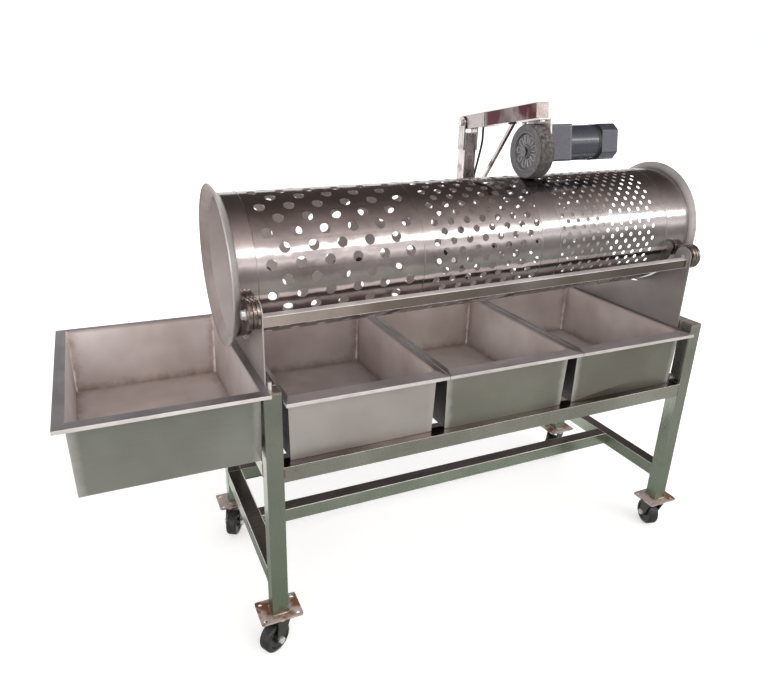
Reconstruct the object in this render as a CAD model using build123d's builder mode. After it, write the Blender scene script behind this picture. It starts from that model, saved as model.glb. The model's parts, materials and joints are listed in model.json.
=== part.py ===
from build123d import *
import os
from math import acos, atan2, cos, degrees, hypot, pi, radians, sin, sqrt, tan

# Flower sorting machine: an inclined perforated drum on four rollers, turned by a rubber
# wheel on a hinged arm, over a tube frame on casters with one bin for each grade.
# Millimetres, +Z up, origin on the floor under the middle of the whole machine.

# Frame of square stainless tube
tube = 40.0
tube_wall = 1.5
frame_length = 1306.0
frame_width = 540.0
leg_top = 716.0
cap_thick = 3.0
bin_rail_top = 527.0
low_rail_top = 227.0

# Swivel casters, with the way each wheel trails, in degrees from +X
caster_height = 113.0
caster_headings = {"fl": 210.0, "fr": 75.0, "rl": 240.0, "rr": 200.0}
caster_trail = 18.0
plate_long = 105.0
plate_wide = 80.0
plate_thick = 5.0
plate_hole_r = 5.5
plate_hole_long = 82.0
plate_hole_wide = 58.0
raceway_r = 28.0
raceway_high = 9.7
fork_plate = 4.0
king_pin_r = 6.0
king_head_r = 11.0
king_head_high = 5.0
fork_sheet = 4.0
fork_side_room = 3.0
fork_top_long = 44.0
fork_eye_r = 14.0
caster_wheel_r = 40.0
caster_wheel_wide = 32.0
caster_hub_r = 14.0
caster_tread_round = 7.0
caster_rim_r = 29.0
caster_rim_recess = 5.0
caster_axle_r = 5.0
caster_bolt_head_r = 9.0
caster_bolt_head_high = 6.0

# Drum: bare, seam-welded stainless sheet, higher at the feed end on the right
drum_tilt = 1.3
drum_axis_left = 932.4
drum_r = 168.5
drum_sheet = 1.5
drum_band = 2.5
left_rim_r = 190.0
right_rim_r = 186.0
drum_rim_bead = 3.0
left_flare_long = 20.0
right_flare_long = 12.0
drum_start = -16.0
left_band_long = 41.0
large_sheet_long = 405.0
medium_sheet_long = 345.0
drive_band_long = 58.0
small_sheet_long = 377.0
right_band_long = 85.0
large_hole_r = 12.5
large_hole_step = 67.2
large_hole_columns = 11
large_hole_rows = 30
large_hole_margin = 32.0
medium_hole_r = 9.0
medium_hole_step = 45.2
medium_hole_columns = 14
medium_hole_rows = 44
medium_hole_margin = 36.0
small_hole_r = 5.8
small_hole_step = 33.0
small_hole_columns = 20
small_hole_rows = 62
small_hole_margin = 12.0

# Cradle: end panels, drum rails and the four rollers
panel_thick = 3.0
left_panel_at = 15.0
panel_half = 223.0
roller_offset = 195.0
roller_r = 35.0
roller_wide = 26.0
roller_groove_wide = 2.5
roller_groove_deep = 4.0
ear_r = 28.0
panel_room = 7.5
bolt_r = 6.0
bolt_head_r = 10.5
bolt_head_high = 8.0
washer_r = 12.5
washer_thick = 1.5
bolt_hole_room = 0.3
drum_rail = 25.0
drum_rail_wall = 1.5
drum_rail_offset = 212.0
drum_rail_below = 63.5

# Bins: folded and welded sheet with a turned-down rim
bin_sheet = 1.5
bin_rim_top = 694.0
bin_lip = 9.0
bin_gap = 2.0
bin_side_room = 4.0
bin_side_rim = 14.0
bin_front_reach = 19.0
bin_front_rim = 39.0
bin_rear_rim = 15.0
bin_rear_clear = 2.5
bin_draft = 4.0
end_bin_rim_top = 719.0
end_bin_long = 420.0
end_bin_lap = 14.5
end_bin_front_reach = 14.0
end_bin_rear_reach = 20.0
end_bin_left_rim = 22.0
end_bin_right_rim = 16.5
end_bin_front_rim = 27.0
end_bin_rear_rim = 15.0
end_bin_depth = 172.0
support_arm = 20.0
support_arm_spread = 300.0
stop_pin_r = 4.5
stop_pin_high = 18.0

# Drive: post, hinged arm, gear motor and rubber wheel
post_at = 788.0
post_foot = 488.0
hinge_height = 1243.0
hinge_back = 20.0
hinge_bolt_r = 6.0
lug_thick = 5.0
lug_wide = 36.0
lug_low = 80.0
post_top_below_hinge = 30.0
beam = 38.0
beam_front = 357.0
beam_rear = 20.0
wheel_reach = 318.0
bracket_thick = 5.0
bracket_long = 96.0
bracket_below_shaft = 45.0
bracket_bolt_r = 4.0
bracket_bolt_head_r = 7.0
bracket_bolt_head_high = 5.0
bracket_bolt_spread = 76.0
tyre_r = 70.0
tyre_wide = 44.0
tyre_thick = 17.0
tyre_under_beam = 6.0
hub_web = 16.0
hub_rim_thick = 6.0
hub_boss_r = 17.0
shaft_r = 8.5
shaft_nut_r = 13.0
shaft_nut_high = 6.0
shaft_offset = 18.0
gearbox_side = 94.0
gearbox_long = 60.0
gearbox_wall = 5.0
motor_r = 46.5
motor_long = 110.0
motor_wall = 5.0
motor_shield = 6.0
motor_cap_side = 94.0
motor_cap_long = 60.0
motor_cap_wall = 3.0
motor_cap_chamfer = 18.0
vent_wide = 4.0
vent_long = 40.0
vent_count = 5
gear_module = 0.85
pinion_teeth = 14
gear_teeth = 42
pinion_wide = 14.0
gear_wide = 10.0
gear_stub_r = 4.0
gear_stub_long = 3.0
rotor_shaft_r = 5.0
rotor_core_r = 34.0
rotor_core_long = 70.0
fan_r = 34.0
fan_thick = 8.0
stay_bar = 10.0
stay_reach = 228.0
stay_foot_below = 263.0
stop_pad_thick = 4.0
stop_pad_long = 24.0
tie_high = 16.0
tie_wide = 30.0

# Control box behind the post, and the motor lead down to it
box_wide = 100.0
box_deep = 55.0
box_high = 140.0
box_wall = 2.0
box_foot = 583.0
box_set_back = 8.0
lid_thick = 3.0
knob_r = 16.0
knob_high = 14.0
knob_shaft_r = 3.0
knob_shaft_long = 12.0
knob_above_middle = 30.0
gland_r = 9.0
gland_high = 20.0
gland_in = 26.0
lead_r = 3.5
lead_boss_r = 8.0
lead_boss_high = 10.0

# Running clearances
touch_gap = 0.3
running_gap = 0.06
hinge_side_gap = (tube - beam) / 2

os.makedirs("parts", exist_ok=True)


def save(piece, name):
    piece.part.label = name
    export_step(piece.part, f"parts/{name}.step", write_pcurves=False)


# Reach of a swivelled caster wheel from its leg's centre, towards one side of the machine
def wheel_reach_to(corner, side_angle):
    turn = radians(caster_headings[corner] - side_angle)
    flat = caster_wheel_r - caster_tread_round
    half = caster_wheel_wide / 2 - caster_tread_round
    return caster_trail * cos(turn) + flat * abs(cos(turn)) + half * abs(sin(turn)) + caster_tread_round


# Places along X are counted from the outer face of the left legs and places along Y from the
# front face of the front legs, and then set about the middle of the whole machine.
axis_slope = tan(radians(drum_tilt))
drum_long = (left_band_long + large_sheet_long + medium_sheet_long + drive_band_long
             + small_sheet_long + right_band_long)
drum_end = drum_start + drum_long
left_reach = end_bin_long - end_bin_lap
right_reach = max(wheel_reach_to("fr", 0), wheel_reach_to("rr", 0), plate_long / 2) - tube / 2
right_reach = max(right_reach, drum_end + right_flare_long - frame_length)
front_reach = max(wheel_reach_to("fl", 270), wheel_reach_to("fr", 270), plate_wide / 2) - tube / 2
front_reach = max(front_reach, bin_front_reach, end_bin_front_reach)
rear_reach = max(tube, box_set_back + box_deep + lid_thick + touch_gap + knob_high, end_bin_rear_reach)
left = -(frame_length + right_reach - left_reach) / 2
right = left + frame_length
front = -(frame_width + rear_reach - front_reach) / 2
rear = front + frame_width
middle_y = (front + rear) / 2
leg_xs = (left + tube / 2, right - tube / 2)
leg_ys = (front + tube / 2, rear - tube / 2)
corners = {"fl": (leg_xs[0], leg_ys[0]), "fr": (leg_xs[1], leg_ys[0]),
           "rl": (leg_xs[0], leg_ys[1]), "rr": (leg_xs[1], leg_ys[1])}
along = Vector(cos(radians(drum_tilt)), 0, sin(radians(drum_tilt)))
across = Vector(-sin(radians(drum_tilt)), 0, cos(radians(drum_tilt)))


# Height of the drum's axis above a place along X
def axis_height(x):
    return drum_axis_left + (x - left) * axis_slope


# Cross-section of the drum at a distance along its axis: sketch X is +Y, sketch Y is upwards
def drum_section(distance):
    origin = Vector(left, middle_y, drum_axis_left) + along * distance
    return Plane(origin=origin, x_dir=(0, 1, 0), z_dir=along)


# Upright section across the machine at a place along X, centred on the drum's axis
def upright_section(x):
    return Plane(origin=(x, middle_y, axis_height(x)), x_dir=(0, 1, 0), z_dir=(1, 0, 0))


# Legs: four upright tubes, closed at the top by welded caps
with BuildPart() as legs:
    with BuildSketch(Plane.XY.offset(caster_height)):
        with Locations(*corners.values()):
            Rectangle(tube, tube)
            Rectangle(tube - 2 * tube_wall, tube - 2 * tube_wall, mode=Mode.SUBTRACT)
    extrude(amount=leg_top - cap_thick - caster_height)
save(legs, "legs")

with BuildPart() as leg_caps:
    with BuildSketch(Plane.XY.offset(leg_top - cap_thick)):
        with Locations(*corners.values()):
            Rectangle(tube, tube)
    extrude(amount=cap_thick)
    chamfer(leg_caps.edges().group_by(Axis.Z)[-1], cap_thick / 3)
save(leg_caps, "leg_caps")


# Square tube lying between two points, with its ends square to it
def lay_tube(start, end, side, wall):
    run = Vector(*end) - Vector(*start)
    sideways = Vector(0, 0, 1).cross(run).normalized()
    with BuildSketch(Plane(origin=start, x_dir=sideways, z_dir=run.normalized())) as section:
        Rectangle(side, side)
        Rectangle(side - 2 * wall, side - 2 * wall, mode=Mode.SUBTRACT)
    extrude(section.sketch, amount=run.length)


# Bin rails: front and rear rails carry the bins, side rails tie the legs
bin_rail_z = bin_rail_top - tube / 2
with BuildPart() as bin_rails:
    for y in leg_ys:
        lay_tube((left + tube, y, bin_rail_z), (right - tube, y, bin_rail_z), tube, tube_wall)
    for x in leg_xs:
        lay_tube((x, front + tube, bin_rail_z), (x, rear - tube, bin_rail_z), tube, tube_wall)
save(bin_rails, "bin_rails")

# Top cross rails join the leg tops and carry the end panels
top_rail_z = leg_top - tube / 2
with BuildPart() as top_cross_rails:
    for x in leg_xs:
        lay_tube((x, front + tube, top_rail_z), (x, rear - tube, top_rail_z), tube, tube_wall)
save(top_cross_rails, "top_cross_rails")

# Low rails: one at each end, one at the back, and a stretcher down the middle
low_rail_z = low_rail_top - tube / 2
with BuildPart() as low_rails:
    for x in leg_xs:
        lay_tube((x, front + tube, low_rail_z), (x, rear - tube, low_rail_z), tube, tube_wall)
    lay_tube((left + tube, leg_ys[1], low_rail_z), (right - tube, leg_ys[1], low_rail_z), tube, tube_wall)
save(low_rails, "low_rails")

with BuildPart() as low_stretcher:
    lay_tube((left + tube, middle_y, low_rail_z), (right - tube, middle_y, low_rail_z), tube, tube_wall)
save(low_stretcher, "low_stretcher")

# Caster plates: welded under the legs, each with its raceway cup and king pin
fork_top = caster_height - plate_thick - raceway_high - touch_gap
with BuildPart() as caster_plates:
    with BuildSketch(Plane.XY.offset(caster_height - plate_thick)):
        with Locations(*corners.values()):
            RectangleRounded(plate_long, plate_wide, plate_hole_r)
            with GridLocations(plate_hole_long, plate_hole_wide, 2, 2):
                Circle(plate_hole_r, mode=Mode.SUBTRACT)
    extrude(amount=plate_thick)
    with BuildSketch(Plane.XY.offset(caster_height - plate_thick)):
        with Locations(*corners.values()):
            Circle(raceway_r)
    extrude(amount=-raceway_high)
    with BuildSketch(Plane.XY.offset(caster_height - plate_thick - raceway_high)):
        with Locations(*corners.values()):
            Circle(king_pin_r)
    extrude(amount=-(2 * touch_gap + fork_plate))
    with BuildSketch(Plane.XY.offset(fork_top - fork_plate - touch_gap)):
        with Locations(*corners.values()):
            Circle(king_head_r)
    extrude(amount=-king_head_high)
save(caster_plates, "caster_plates")

# Casters: a pressed fork that swivels on the king pin, an axle bolt and a solid wheel
fork_inside = caster_wheel_wide / 2 + fork_side_room
fork_outside = fork_inside + fork_sheet
for corner, (leg_x, leg_y) in corners.items():
    heading = radians(caster_headings[corner])
    forward = Vector(cos(heading), sin(heading), 0)
    axle_way = Vector(sin(heading), -cos(heading), 0)
    swivel = Plane(origin=(leg_x, leg_y, 0), x_dir=forward, z_dir=(0, 0, 1))
    side = Plane(origin=(leg_x, leg_y, 0), x_dir=forward, z_dir=axle_way)
    axle = Plane(origin=swivel.from_local_coords((caster_trail, 0, caster_wheel_r)), x_dir=forward, z_dir=axle_way)

    with BuildPart() as fork:
        with BuildSketch(swivel.offset(fork_top - fork_plate)):
            Circle(raceway_r)
            Circle(king_pin_r + running_gap, mode=Mode.SUBTRACT)
        extrude(amount=fork_plate)
        for face in (-fork_outside, fork_inside):
            with BuildSketch(side.offset(face)):
                with Locations((0, fork_top - fork_plate / 2)):
                    Rectangle(fork_top_long, fork_plate)
                with Locations((caster_trail, caster_wheel_r)):
                    Circle(fork_eye_r)
                make_hull()
            extrude(amount=fork_sheet)
        with BuildSketch(axle.offset(-fork_outside)):
            Circle(caster_axle_r)
        extrude(amount=2 * fork_outside)
        for face, way in ((fork_outside, 1), (-fork_outside, -1)):
            with BuildSketch(axle.offset(face)):
                RegularPolygon(caster_bolt_head_r, 6)
            extrude(amount=way * caster_bolt_head_high)
    save(fork, f"caster_fork_{corner}")

    with BuildPart() as caster_wheel:
        profile = Plane(origin=axle.origin, x_dir=axle_way, z_dir=Vector(axle_way).cross(Vector(0, 0, 1)))
        with BuildSketch(profile):
            with BuildLine():
                half = caster_wheel_wide / 2
                hub_half = fork_inside - touch_gap
                bore = caster_axle_r + running_gap
                Polyline((-hub_half, bore), (hub_half, bore), (hub_half, caster_hub_r),
                         (half - caster_rim_recess, caster_hub_r), (half - caster_rim_recess, caster_rim_r),
                         (half, caster_rim_r), (half, caster_wheel_r - caster_tread_round))
                RadiusArc((half, caster_wheel_r - caster_tread_round),
                          (half - caster_tread_round, caster_wheel_r), -caster_tread_round)
                Line((half - caster_tread_round, caster_wheel_r), (caster_tread_round - half, caster_wheel_r))
                RadiusArc((caster_tread_round - half, caster_wheel_r),
                          (-half, caster_wheel_r - caster_tread_round), -caster_tread_round)
                Polyline((-half, caster_wheel_r - caster_tread_round), (-half, caster_rim_r),
                         (caster_rim_recess - half, caster_rim_r), (caster_rim_recess - half, caster_hub_r),
                         (-hub_half, caster_hub_r), (-hub_half, bore))
            make_face()
        revolve(axis=Axis(axle.origin, axle_way))
    save(caster_wheel, f"caster_wheel_{corner}")

# End panels: upright sheets cut round the drum, with an ear for each roller bolt. The left one
# stands on its cross rail, and the right one lies against the inner face of its own.
roller_drop = sqrt((drum_r + touch_gap + roller_r) ** 2 - roller_offset ** 2)
right_panel_at = frame_length - tube - panel_thick
panel_foot = {"left": leg_top, "right": leg_top - tube}
panel_x = {"left": left + left_panel_at, "right": left + right_panel_at}
for end, x in panel_x.items():
    foot = panel_foot[end] - axis_height(x)
    with BuildPart() as end_panel:
        with BuildSketch(upright_section(x)):
            with Locations((0, (foot - roller_drop) / 2)):
                Rectangle(2 * panel_half, -roller_drop - foot)
            with Locations((-roller_offset, -roller_drop), (roller_offset, -roller_drop)):
                Circle(ear_r)
            Circle(drum_r + panel_room, mode=Mode.SUBTRACT)
            with Locations((-roller_offset, -roller_drop), (roller_offset, -roller_drop)):
                Circle(bolt_r, mode=Mode.SUBTRACT)
        extrude(amount=panel_thick)
    save(end_panel, f"end_panel_{end}")

# Drum rails: two tubes along the sides of the drum, sloping with it from panel to panel
rail_start = panel_x["left"] + panel_thick
rail_run = (panel_x["right"] - rail_start) / cos(radians(drum_tilt))
rail_drop = drum_rail_below + drum_rail / 2
with BuildPart() as drum_rails:
    with BuildSketch(upright_section(rail_start)):
        with Locations((-drum_rail_offset + drum_rail / 2, -rail_drop), (drum_rail_offset - drum_rail / 2, -rail_drop)):
            Rectangle(drum_rail, drum_rail)
            Rectangle(drum_rail - 2 * drum_rail_wall, drum_rail - 2 * drum_rail_wall, mode=Mode.SUBTRACT)
    extrude(amount=rail_run, dir=along)
save(drum_rails, "drum_rails")

# Rollers: turned steel with two grooves, running on bolts through the panel ears, outside them
roller_ends = {"left": (0, -1), "right": (panel_thick, 1)}
roller_sides = {"front": -roller_offset, "rear": roller_offset}
for end, (outer_face, way) in roller_ends.items():
    roller_x = panel_x[end] + outer_face + way * (washer_thick + touch_gap + roller_wide / 2)
    for side_name, offset_y in roller_sides.items():
        centre = (roller_x, middle_y + offset_y, axis_height(panel_x[end]) - roller_drop)
        with BuildPart() as roller:
            with BuildSketch(Plane(origin=centre, x_dir=(1, 0, 0), z_dir=(0, -1, 0))):
                roller_bore = bolt_r + running_gap
                with Locations((0, (roller_r + roller_bore) / 2)):
                    Rectangle(roller_wide, roller_r - roller_bore)
                with GridLocations(roller_wide / 3, 0, 2, 1):
                    with Locations((0, roller_r - roller_groove_deep / 2)):
                        Rectangle(roller_groove_wide, roller_groove_deep, mode=Mode.SUBTRACT)
            revolve(axis=Axis(centre, (1, 0, 0)))
        save(roller, f"roller_{side_name}_{end}")

# Roller bolts: studs welded into the panel ears, with a washer on each side of the roller and a
# nut outside
roller_room = washer_thick + 2 * touch_gap + roller_wide
with BuildPart() as roller_bolts:
    for end, (outer_face, way) in roller_ends.items():
        ear_plane = upright_section(panel_x[end]).offset(outer_face)
        for start, length, radius in ((-panel_thick, panel_thick + roller_room, bolt_r),
                                      (0, washer_thick, washer_r),
                                      (roller_room, washer_thick, washer_r)):
            with BuildSketch(ear_plane.offset(way * start)):
                with Locations((-roller_offset, -roller_drop), (roller_offset, -roller_drop)):
                    Circle(radius)
            extrude(amount=way * length)
        with BuildSketch(ear_plane.offset(way * (roller_room + washer_thick))):
            with Locations((-roller_offset, -roller_drop), (roller_offset, -roller_drop)):
                RegularPolygon(bolt_head_r, 6)
        extrude(amount=way * bolt_head_high)
save(roller_bolts, "roller_bolts")


# Drum, from the discharge end to the feed end: plain bands, perforated sheets and flared lips
def drum_ring(start, length, thick):
    with BuildSketch(drum_section(start)) as section:
        Circle(drum_r)
        Circle(drum_r - thick, mode=Mode.SUBTRACT)
    extrude(section.sketch, amount=length)


# Staggered rows of round holes, punched square to the sheet
def punch(start, radius, step, columns, rows, margin):
    places = []
    for row in range(rows):
        turn = 2 * pi * row / rows
        outward = Vector(0, 1, 0) * cos(turn) + across * sin(turn)
        for column in range(row % 2, columns, 2):
            foot = drum_section(start + margin + column * step / 2).origin
            places.append(Plane(origin=foot + outward * drum_r, z_dir=outward))
    with Locations(*places):
        Cylinder(radius, 6 * drum_sheet, mode=Mode.SUBTRACT)


drum_axis = Axis(drum_section(0).origin, along)
flare_profile = Plane(origin=drum_section(0).origin, x_dir=along, z_dir=(0, -1, 0))
flares = {"left": (drum_start, -1, left_flare_long, left_rim_r), "right": (drum_end, 1, right_flare_long, right_rim_r)}
for end, (edge, way, flare_long, rim_r) in flares.items():
    with BuildPart() as drum_flare:
        with BuildSketch(flare_profile):
            with BuildLine():
                rim = edge + way * (flare_long - drum_rim_bead)
                Polyline((edge, drum_r - drum_sheet), (edge, drum_r), (rim, rim_r),
                         (rim + way * drum_rim_bead, rim_r),
                         (rim + way * drum_rim_bead, rim_r - drum_sheet),
                         (rim, rim_r - 2 * drum_sheet), close=True)
            make_face()
        revolve(axis=drum_axis)
    save(drum_flare, f"drum_flare_{end}")

at = drum_start
with BuildPart() as drum_band_left:
    drum_ring(at, left_band_long, drum_band)
save(drum_band_left, "drum_band_left")

at += left_band_long
with BuildPart() as drum_sheet_large:
    drum_ring(at, large_sheet_long, drum_sheet)
    punch(at, large_hole_r, large_hole_step, large_hole_columns, large_hole_rows, large_hole_margin)
save(drum_sheet_large, "drum_sheet_large")

at += large_sheet_long
with BuildPart() as drum_sheet_medium:
    drum_ring(at, medium_sheet_long, drum_sheet)
    punch(at, medium_hole_r, medium_hole_step, medium_hole_columns, medium_hole_rows, medium_hole_margin)
save(drum_sheet_medium, "drum_sheet_medium")

at += medium_sheet_long
with BuildPart() as drum_band_drive:
    drum_ring(at, drive_band_long, drum_band)
save(drum_band_drive, "drum_band_drive")
drive_middle = at + drive_band_long / 2

at += drive_band_long
with BuildPart() as drum_sheet_small:
    drum_ring(at, small_sheet_long, drum_sheet)
    punch(at, small_hole_r, small_hole_step, small_hole_columns, small_hole_rows, small_hole_margin)
save(drum_sheet_small, "drum_sheet_small")

at += small_sheet_long
with BuildPart() as drum_band_right:
    drum_ring(at, right_band_long, drum_band)
save(drum_band_right, "drum_band_right")


# Bins: a box of folded sheet with a flat rim and a turned-down lip; low and high are the rim's
# corners, inset is the rim's width at the left, right, front and rear, and right_lip is the
# lip's thickness on the right, or nothing where the rim lies flat over the frame
def sheet_bin(low, high, rim_top, depth, inset, right_lip, name):
    body_low = (low[0] + inset[0], low[1] + inset[2])
    body_high = (high[0] - inset[1], high[1] - inset[3])
    middle = ((body_low[0] + body_high[0]) / 2, (body_low[1] + body_high[1]) / 2)
    size = (body_high[0] - body_low[0], body_high[1] - body_low[1])
    rim_middle = ((low[0] + high[0]) / 2, (low[1] + high[1]) / 2)
    rim_size = (high[0] - low[0], high[1] - low[1])
    floor = rim_top - depth
    with BuildPart() as sheet:
        for level, narrower in ((floor, 2 * bin_draft), (rim_top - bin_sheet, 0)):
            with BuildSketch(Plane.XY.offset(level)):
                with Locations(middle):
                    Rectangle(size[0] - narrower, size[1] - narrower)
        loft(ruled=True)
        with BuildSketch(Plane.XY.offset(rim_top - bin_sheet)):
            with Locations(rim_middle):
                Rectangle(*rim_size)
        extrude(amount=bin_sheet)
        with BuildSketch(Plane.XY.offset(rim_top - bin_sheet)):
            with Locations(rim_middle):
                Rectangle(*rim_size)
            with Locations((rim_middle[0] + (bin_sheet - right_lip) / 2, rim_middle[1])):
                Rectangle(rim_size[0] - bin_sheet - right_lip, rim_size[1] - 2 * bin_sheet, mode=Mode.SUBTRACT)
        extrude(amount=bin_sheet - bin_lip)
        for level, narrower in ((floor + bin_sheet, 2 * bin_draft), (rim_top, 0)):
            with BuildSketch(Plane.XY.offset(level)):
                with Locations(middle):
                    Rectangle(size[0] - narrower - 2 * bin_sheet, size[1] - narrower - 2 * bin_sheet)
        loft(ruled=True, mode=Mode.SUBTRACT)
    save(sheet, name)


bins_start = left + tube + bin_side_room
bin_pitch = (right - tube - panel_thick - bin_side_room - bins_start + bin_gap) / 3
bin_front = front - bin_front_reach
bin_rear = rear - bin_rear_clear
for place, name in enumerate(("bin_large", "bin_medium", "bin_small")):
    bin_left = bins_start + place * bin_pitch
    sheet_bin((bin_left, bin_front), (bin_left + bin_pitch - bin_gap, bin_rear), bin_rim_top,
              bin_rim_top - bin_rail_top, (bin_side_rim, bin_side_rim, bin_front_rim, bin_rear_rim), bin_sheet, name)

end_bin_right = left + end_bin_lap
end_bin_left = end_bin_right - end_bin_long
end_bin_front = front - end_bin_front_reach
end_bin_rear = rear + end_bin_rear_reach
sheet_bin((end_bin_left, end_bin_front), (end_bin_right, end_bin_rear), end_bin_rim_top, end_bin_depth,
          (end_bin_left_rim, end_bin_right_rim, end_bin_front_rim, end_bin_rear_rim), 0, "bin_oversize")

# Support arms under the end bin: two tubes welded across the left side rail
arm_level = end_bin_rim_top - end_bin_depth - support_arm / 2
with BuildPart() as bin_support_arms:
    for way in (-1, 1):
        arm_y = middle_y + way * support_arm_spread / 2
        lay_tube((end_bin_left + end_bin_left_rim + bin_draft, arm_y, arm_level), (left + tube, arm_y, arm_level),
                 support_arm, tube_wall)
save(bin_support_arms, "bin_support_arms")

# Stop pins on the left leg caps, against the end bin's rim
with BuildPart() as bin_stop_pins:
    with BuildSketch(Plane.XY.offset(leg_top)):
        with Locations(*[(end_bin_right + stop_pin_r + touch_gap, y) for y in leg_ys]):
            Circle(stop_pin_r)
    extrude(amount=stop_pin_high)
    fillet(bin_stop_pins.edges().group_by(Axis.Z)[-1], stop_pin_r / 3)
save(bin_stop_pins, "bin_stop_pins")

# Post behind the frame, welded to the rear bin rail and tied to the rear drum rail
post_x = left + post_at + tube / 2
post_y = rear + tube / 2
post_top = hinge_height - post_top_below_hinge
with BuildPart() as gantry_post:
    with BuildSketch(Plane.XY.offset(post_foot)):
        with Locations((post_x, post_y)):
            Rectangle(tube, tube)
            Rectangle(tube - 2 * tube_wall, tube - 2 * tube_wall, mode=Mode.SUBTRACT)
    extrude(amount=post_top - post_foot)
save(gantry_post, "gantry_post")

# Brackets on the post: two hinge lugs and the tie to the drum rail
hinge = Vector(post_x, rear + hinge_back, hinge_height)
lug_plane = Plane(origin=hinge, x_dir=(0, 1, 0), z_dir=(1, 0, 0))
tie_start = middle_y + drum_rail_offset
tie_level = axis_height(post_x) - rail_drop
with BuildPart() as post_brackets:
    for face in (-tube / 2 - lug_thick, tube / 2):
        with BuildSketch(lug_plane.offset(face)):
            Circle(lug_wide / 2)
            with Locations((0, -lug_low / 2)):
                Rectangle(lug_wide, lug_low)
            with Locations((0, (face + lug_thick / 2) * axis_slope)):
                Circle(hinge_bolt_r + bolt_hole_room, mode=Mode.SUBTRACT)
        extrude(amount=lug_thick)
    with BuildSketch(Plane(origin=(post_x, tie_start, tie_level), x_dir=(1, 0, 0), z_dir=(0, 1, 0))):
        Rectangle(tie_wide, tie_high)
    extrude(amount=rear - tie_start)
save(post_brackets, "post_brackets")

# The arm hangs in the hinge with its wheel on the drum: its slope follows from where the wheel
# rides, under the beam and one wheel radius from the drum
tyre_drop = beam / 2 + bracket_thick + tyre_under_beam + tyre_r
hinge_above_axis = (hinge_height - axis_height(post_x)) * cos(radians(drum_tilt))
hinge_behind_axis = hinge.Y - middle_y
to_wheel = hypot(wheel_reach, tyre_drop)
to_axis = hypot(hinge_behind_axis, hinge_above_axis)
between = drum_r + tyre_r + touch_gap
open_angle = acos((to_wheel ** 2 + to_axis ** 2 - between ** 2) / (2 * to_wheel * to_axis))
arm_slope = open_angle - atan2(hinge_above_axis, hinge_behind_axis) + atan2(tyre_drop, wheel_reach)
arm_back = Vector(0, 1, 0) * cos(arm_slope) - across * sin(arm_slope)


# Section of the arm at a distance along the hinge axis: sketch X runs back along the beam and
# sketch Y up from it, with the hinge at the origin
def arm_section(distance):
    return Plane(origin=hinge + along * distance, x_dir=arm_back, z_dir=along)


# Place in the machine of a point given along the hinge axis, along the beam and up from it
def arm_point(distance, back, up):
    return arm_section(distance).from_local_coords((back, up, 0))


with BuildPart() as hinge_bolt:
    reach = tube / 2 + lug_thick + touch_gap
    with BuildSketch(arm_section(-reach)):
        Circle(hinge_bolt_r)
    extrude(amount=2 * reach)
    for face, way in ((reach, 1), (-reach, -1)):
        with BuildSketch(arm_section(face)):
            RegularPolygon(bolt_head_r, 6)
        extrude(amount=way * bolt_head_high)
save(hinge_bolt, "hinge_bolt")

# Arm beam: a closed tube, bored for the hinge bolt
with BuildPart() as arm_beam:
    with BuildSketch(arm_section(-beam / 2)):
        with Locations(((beam_rear - beam_front) / 2, 0)):
            Rectangle(beam_front + beam_rear, beam)
    extrude(amount=beam)
    with BuildSketch(arm_section(-beam / 2 + tube_wall)):
        with Locations(((beam_rear - beam_front) / 2, 0)):
            Rectangle(beam_front + beam_rear - 2 * tube_wall, beam - 2 * tube_wall)
    extrude(amount=beam - 2 * tube_wall, mode=Mode.SUBTRACT)
    with BuildSketch(arm_section(-beam / 2)):
        Circle(hinge_bolt_r + running_gap)
    extrude(amount=beam, mode=Mode.SUBTRACT)
save(arm_beam, "arm_beam")

# Motor bracket: an angle bolted under the beam, with the gear motor on its upright leaf
shaft_at = (-wheel_reach, -tyre_drop)
motor_at = (-wheel_reach, shaft_offset - tyre_drop)
leaf_face = beam / 2
box_start = leaf_face + bracket_thick
leaf_low = tyre_drop + bracket_below_shaft
leaf_top = beam / 2
with BuildPart() as motor_bracket:
    with BuildSketch(arm_section(-beam / 2)):
        with Locations((-wheel_reach, -leaf_top - bracket_thick / 2)):
            Rectangle(bracket_long, bracket_thick)
    extrude(amount=beam + bracket_thick)
    with BuildSketch(arm_section(leaf_face)):
        with Locations((-wheel_reach, -(leaf_low + leaf_top) / 2)):
            Rectangle(bracket_long, leaf_low - leaf_top)
        with Locations(shaft_at):
            Circle(hub_boss_r, mode=Mode.SUBTRACT)
    extrude(amount=bracket_thick)
save(motor_bracket, "motor_bracket")

with BuildPart() as bracket_bolts:
    for way in (-1, 1):
        bolt_foot = arm_point(0, -wheel_reach + way * bracket_bolt_spread / 2, -leaf_top - bracket_thick)
        up = arm_section(0).y_dir
        with BuildSketch(Plane(origin=bolt_foot, x_dir=along, z_dir=up)):
            RegularPolygon(bracket_bolt_head_r, 6)
        extrude(amount=-bracket_bolt_head_high)
save(bracket_bolts, "bracket_bolts")

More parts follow.
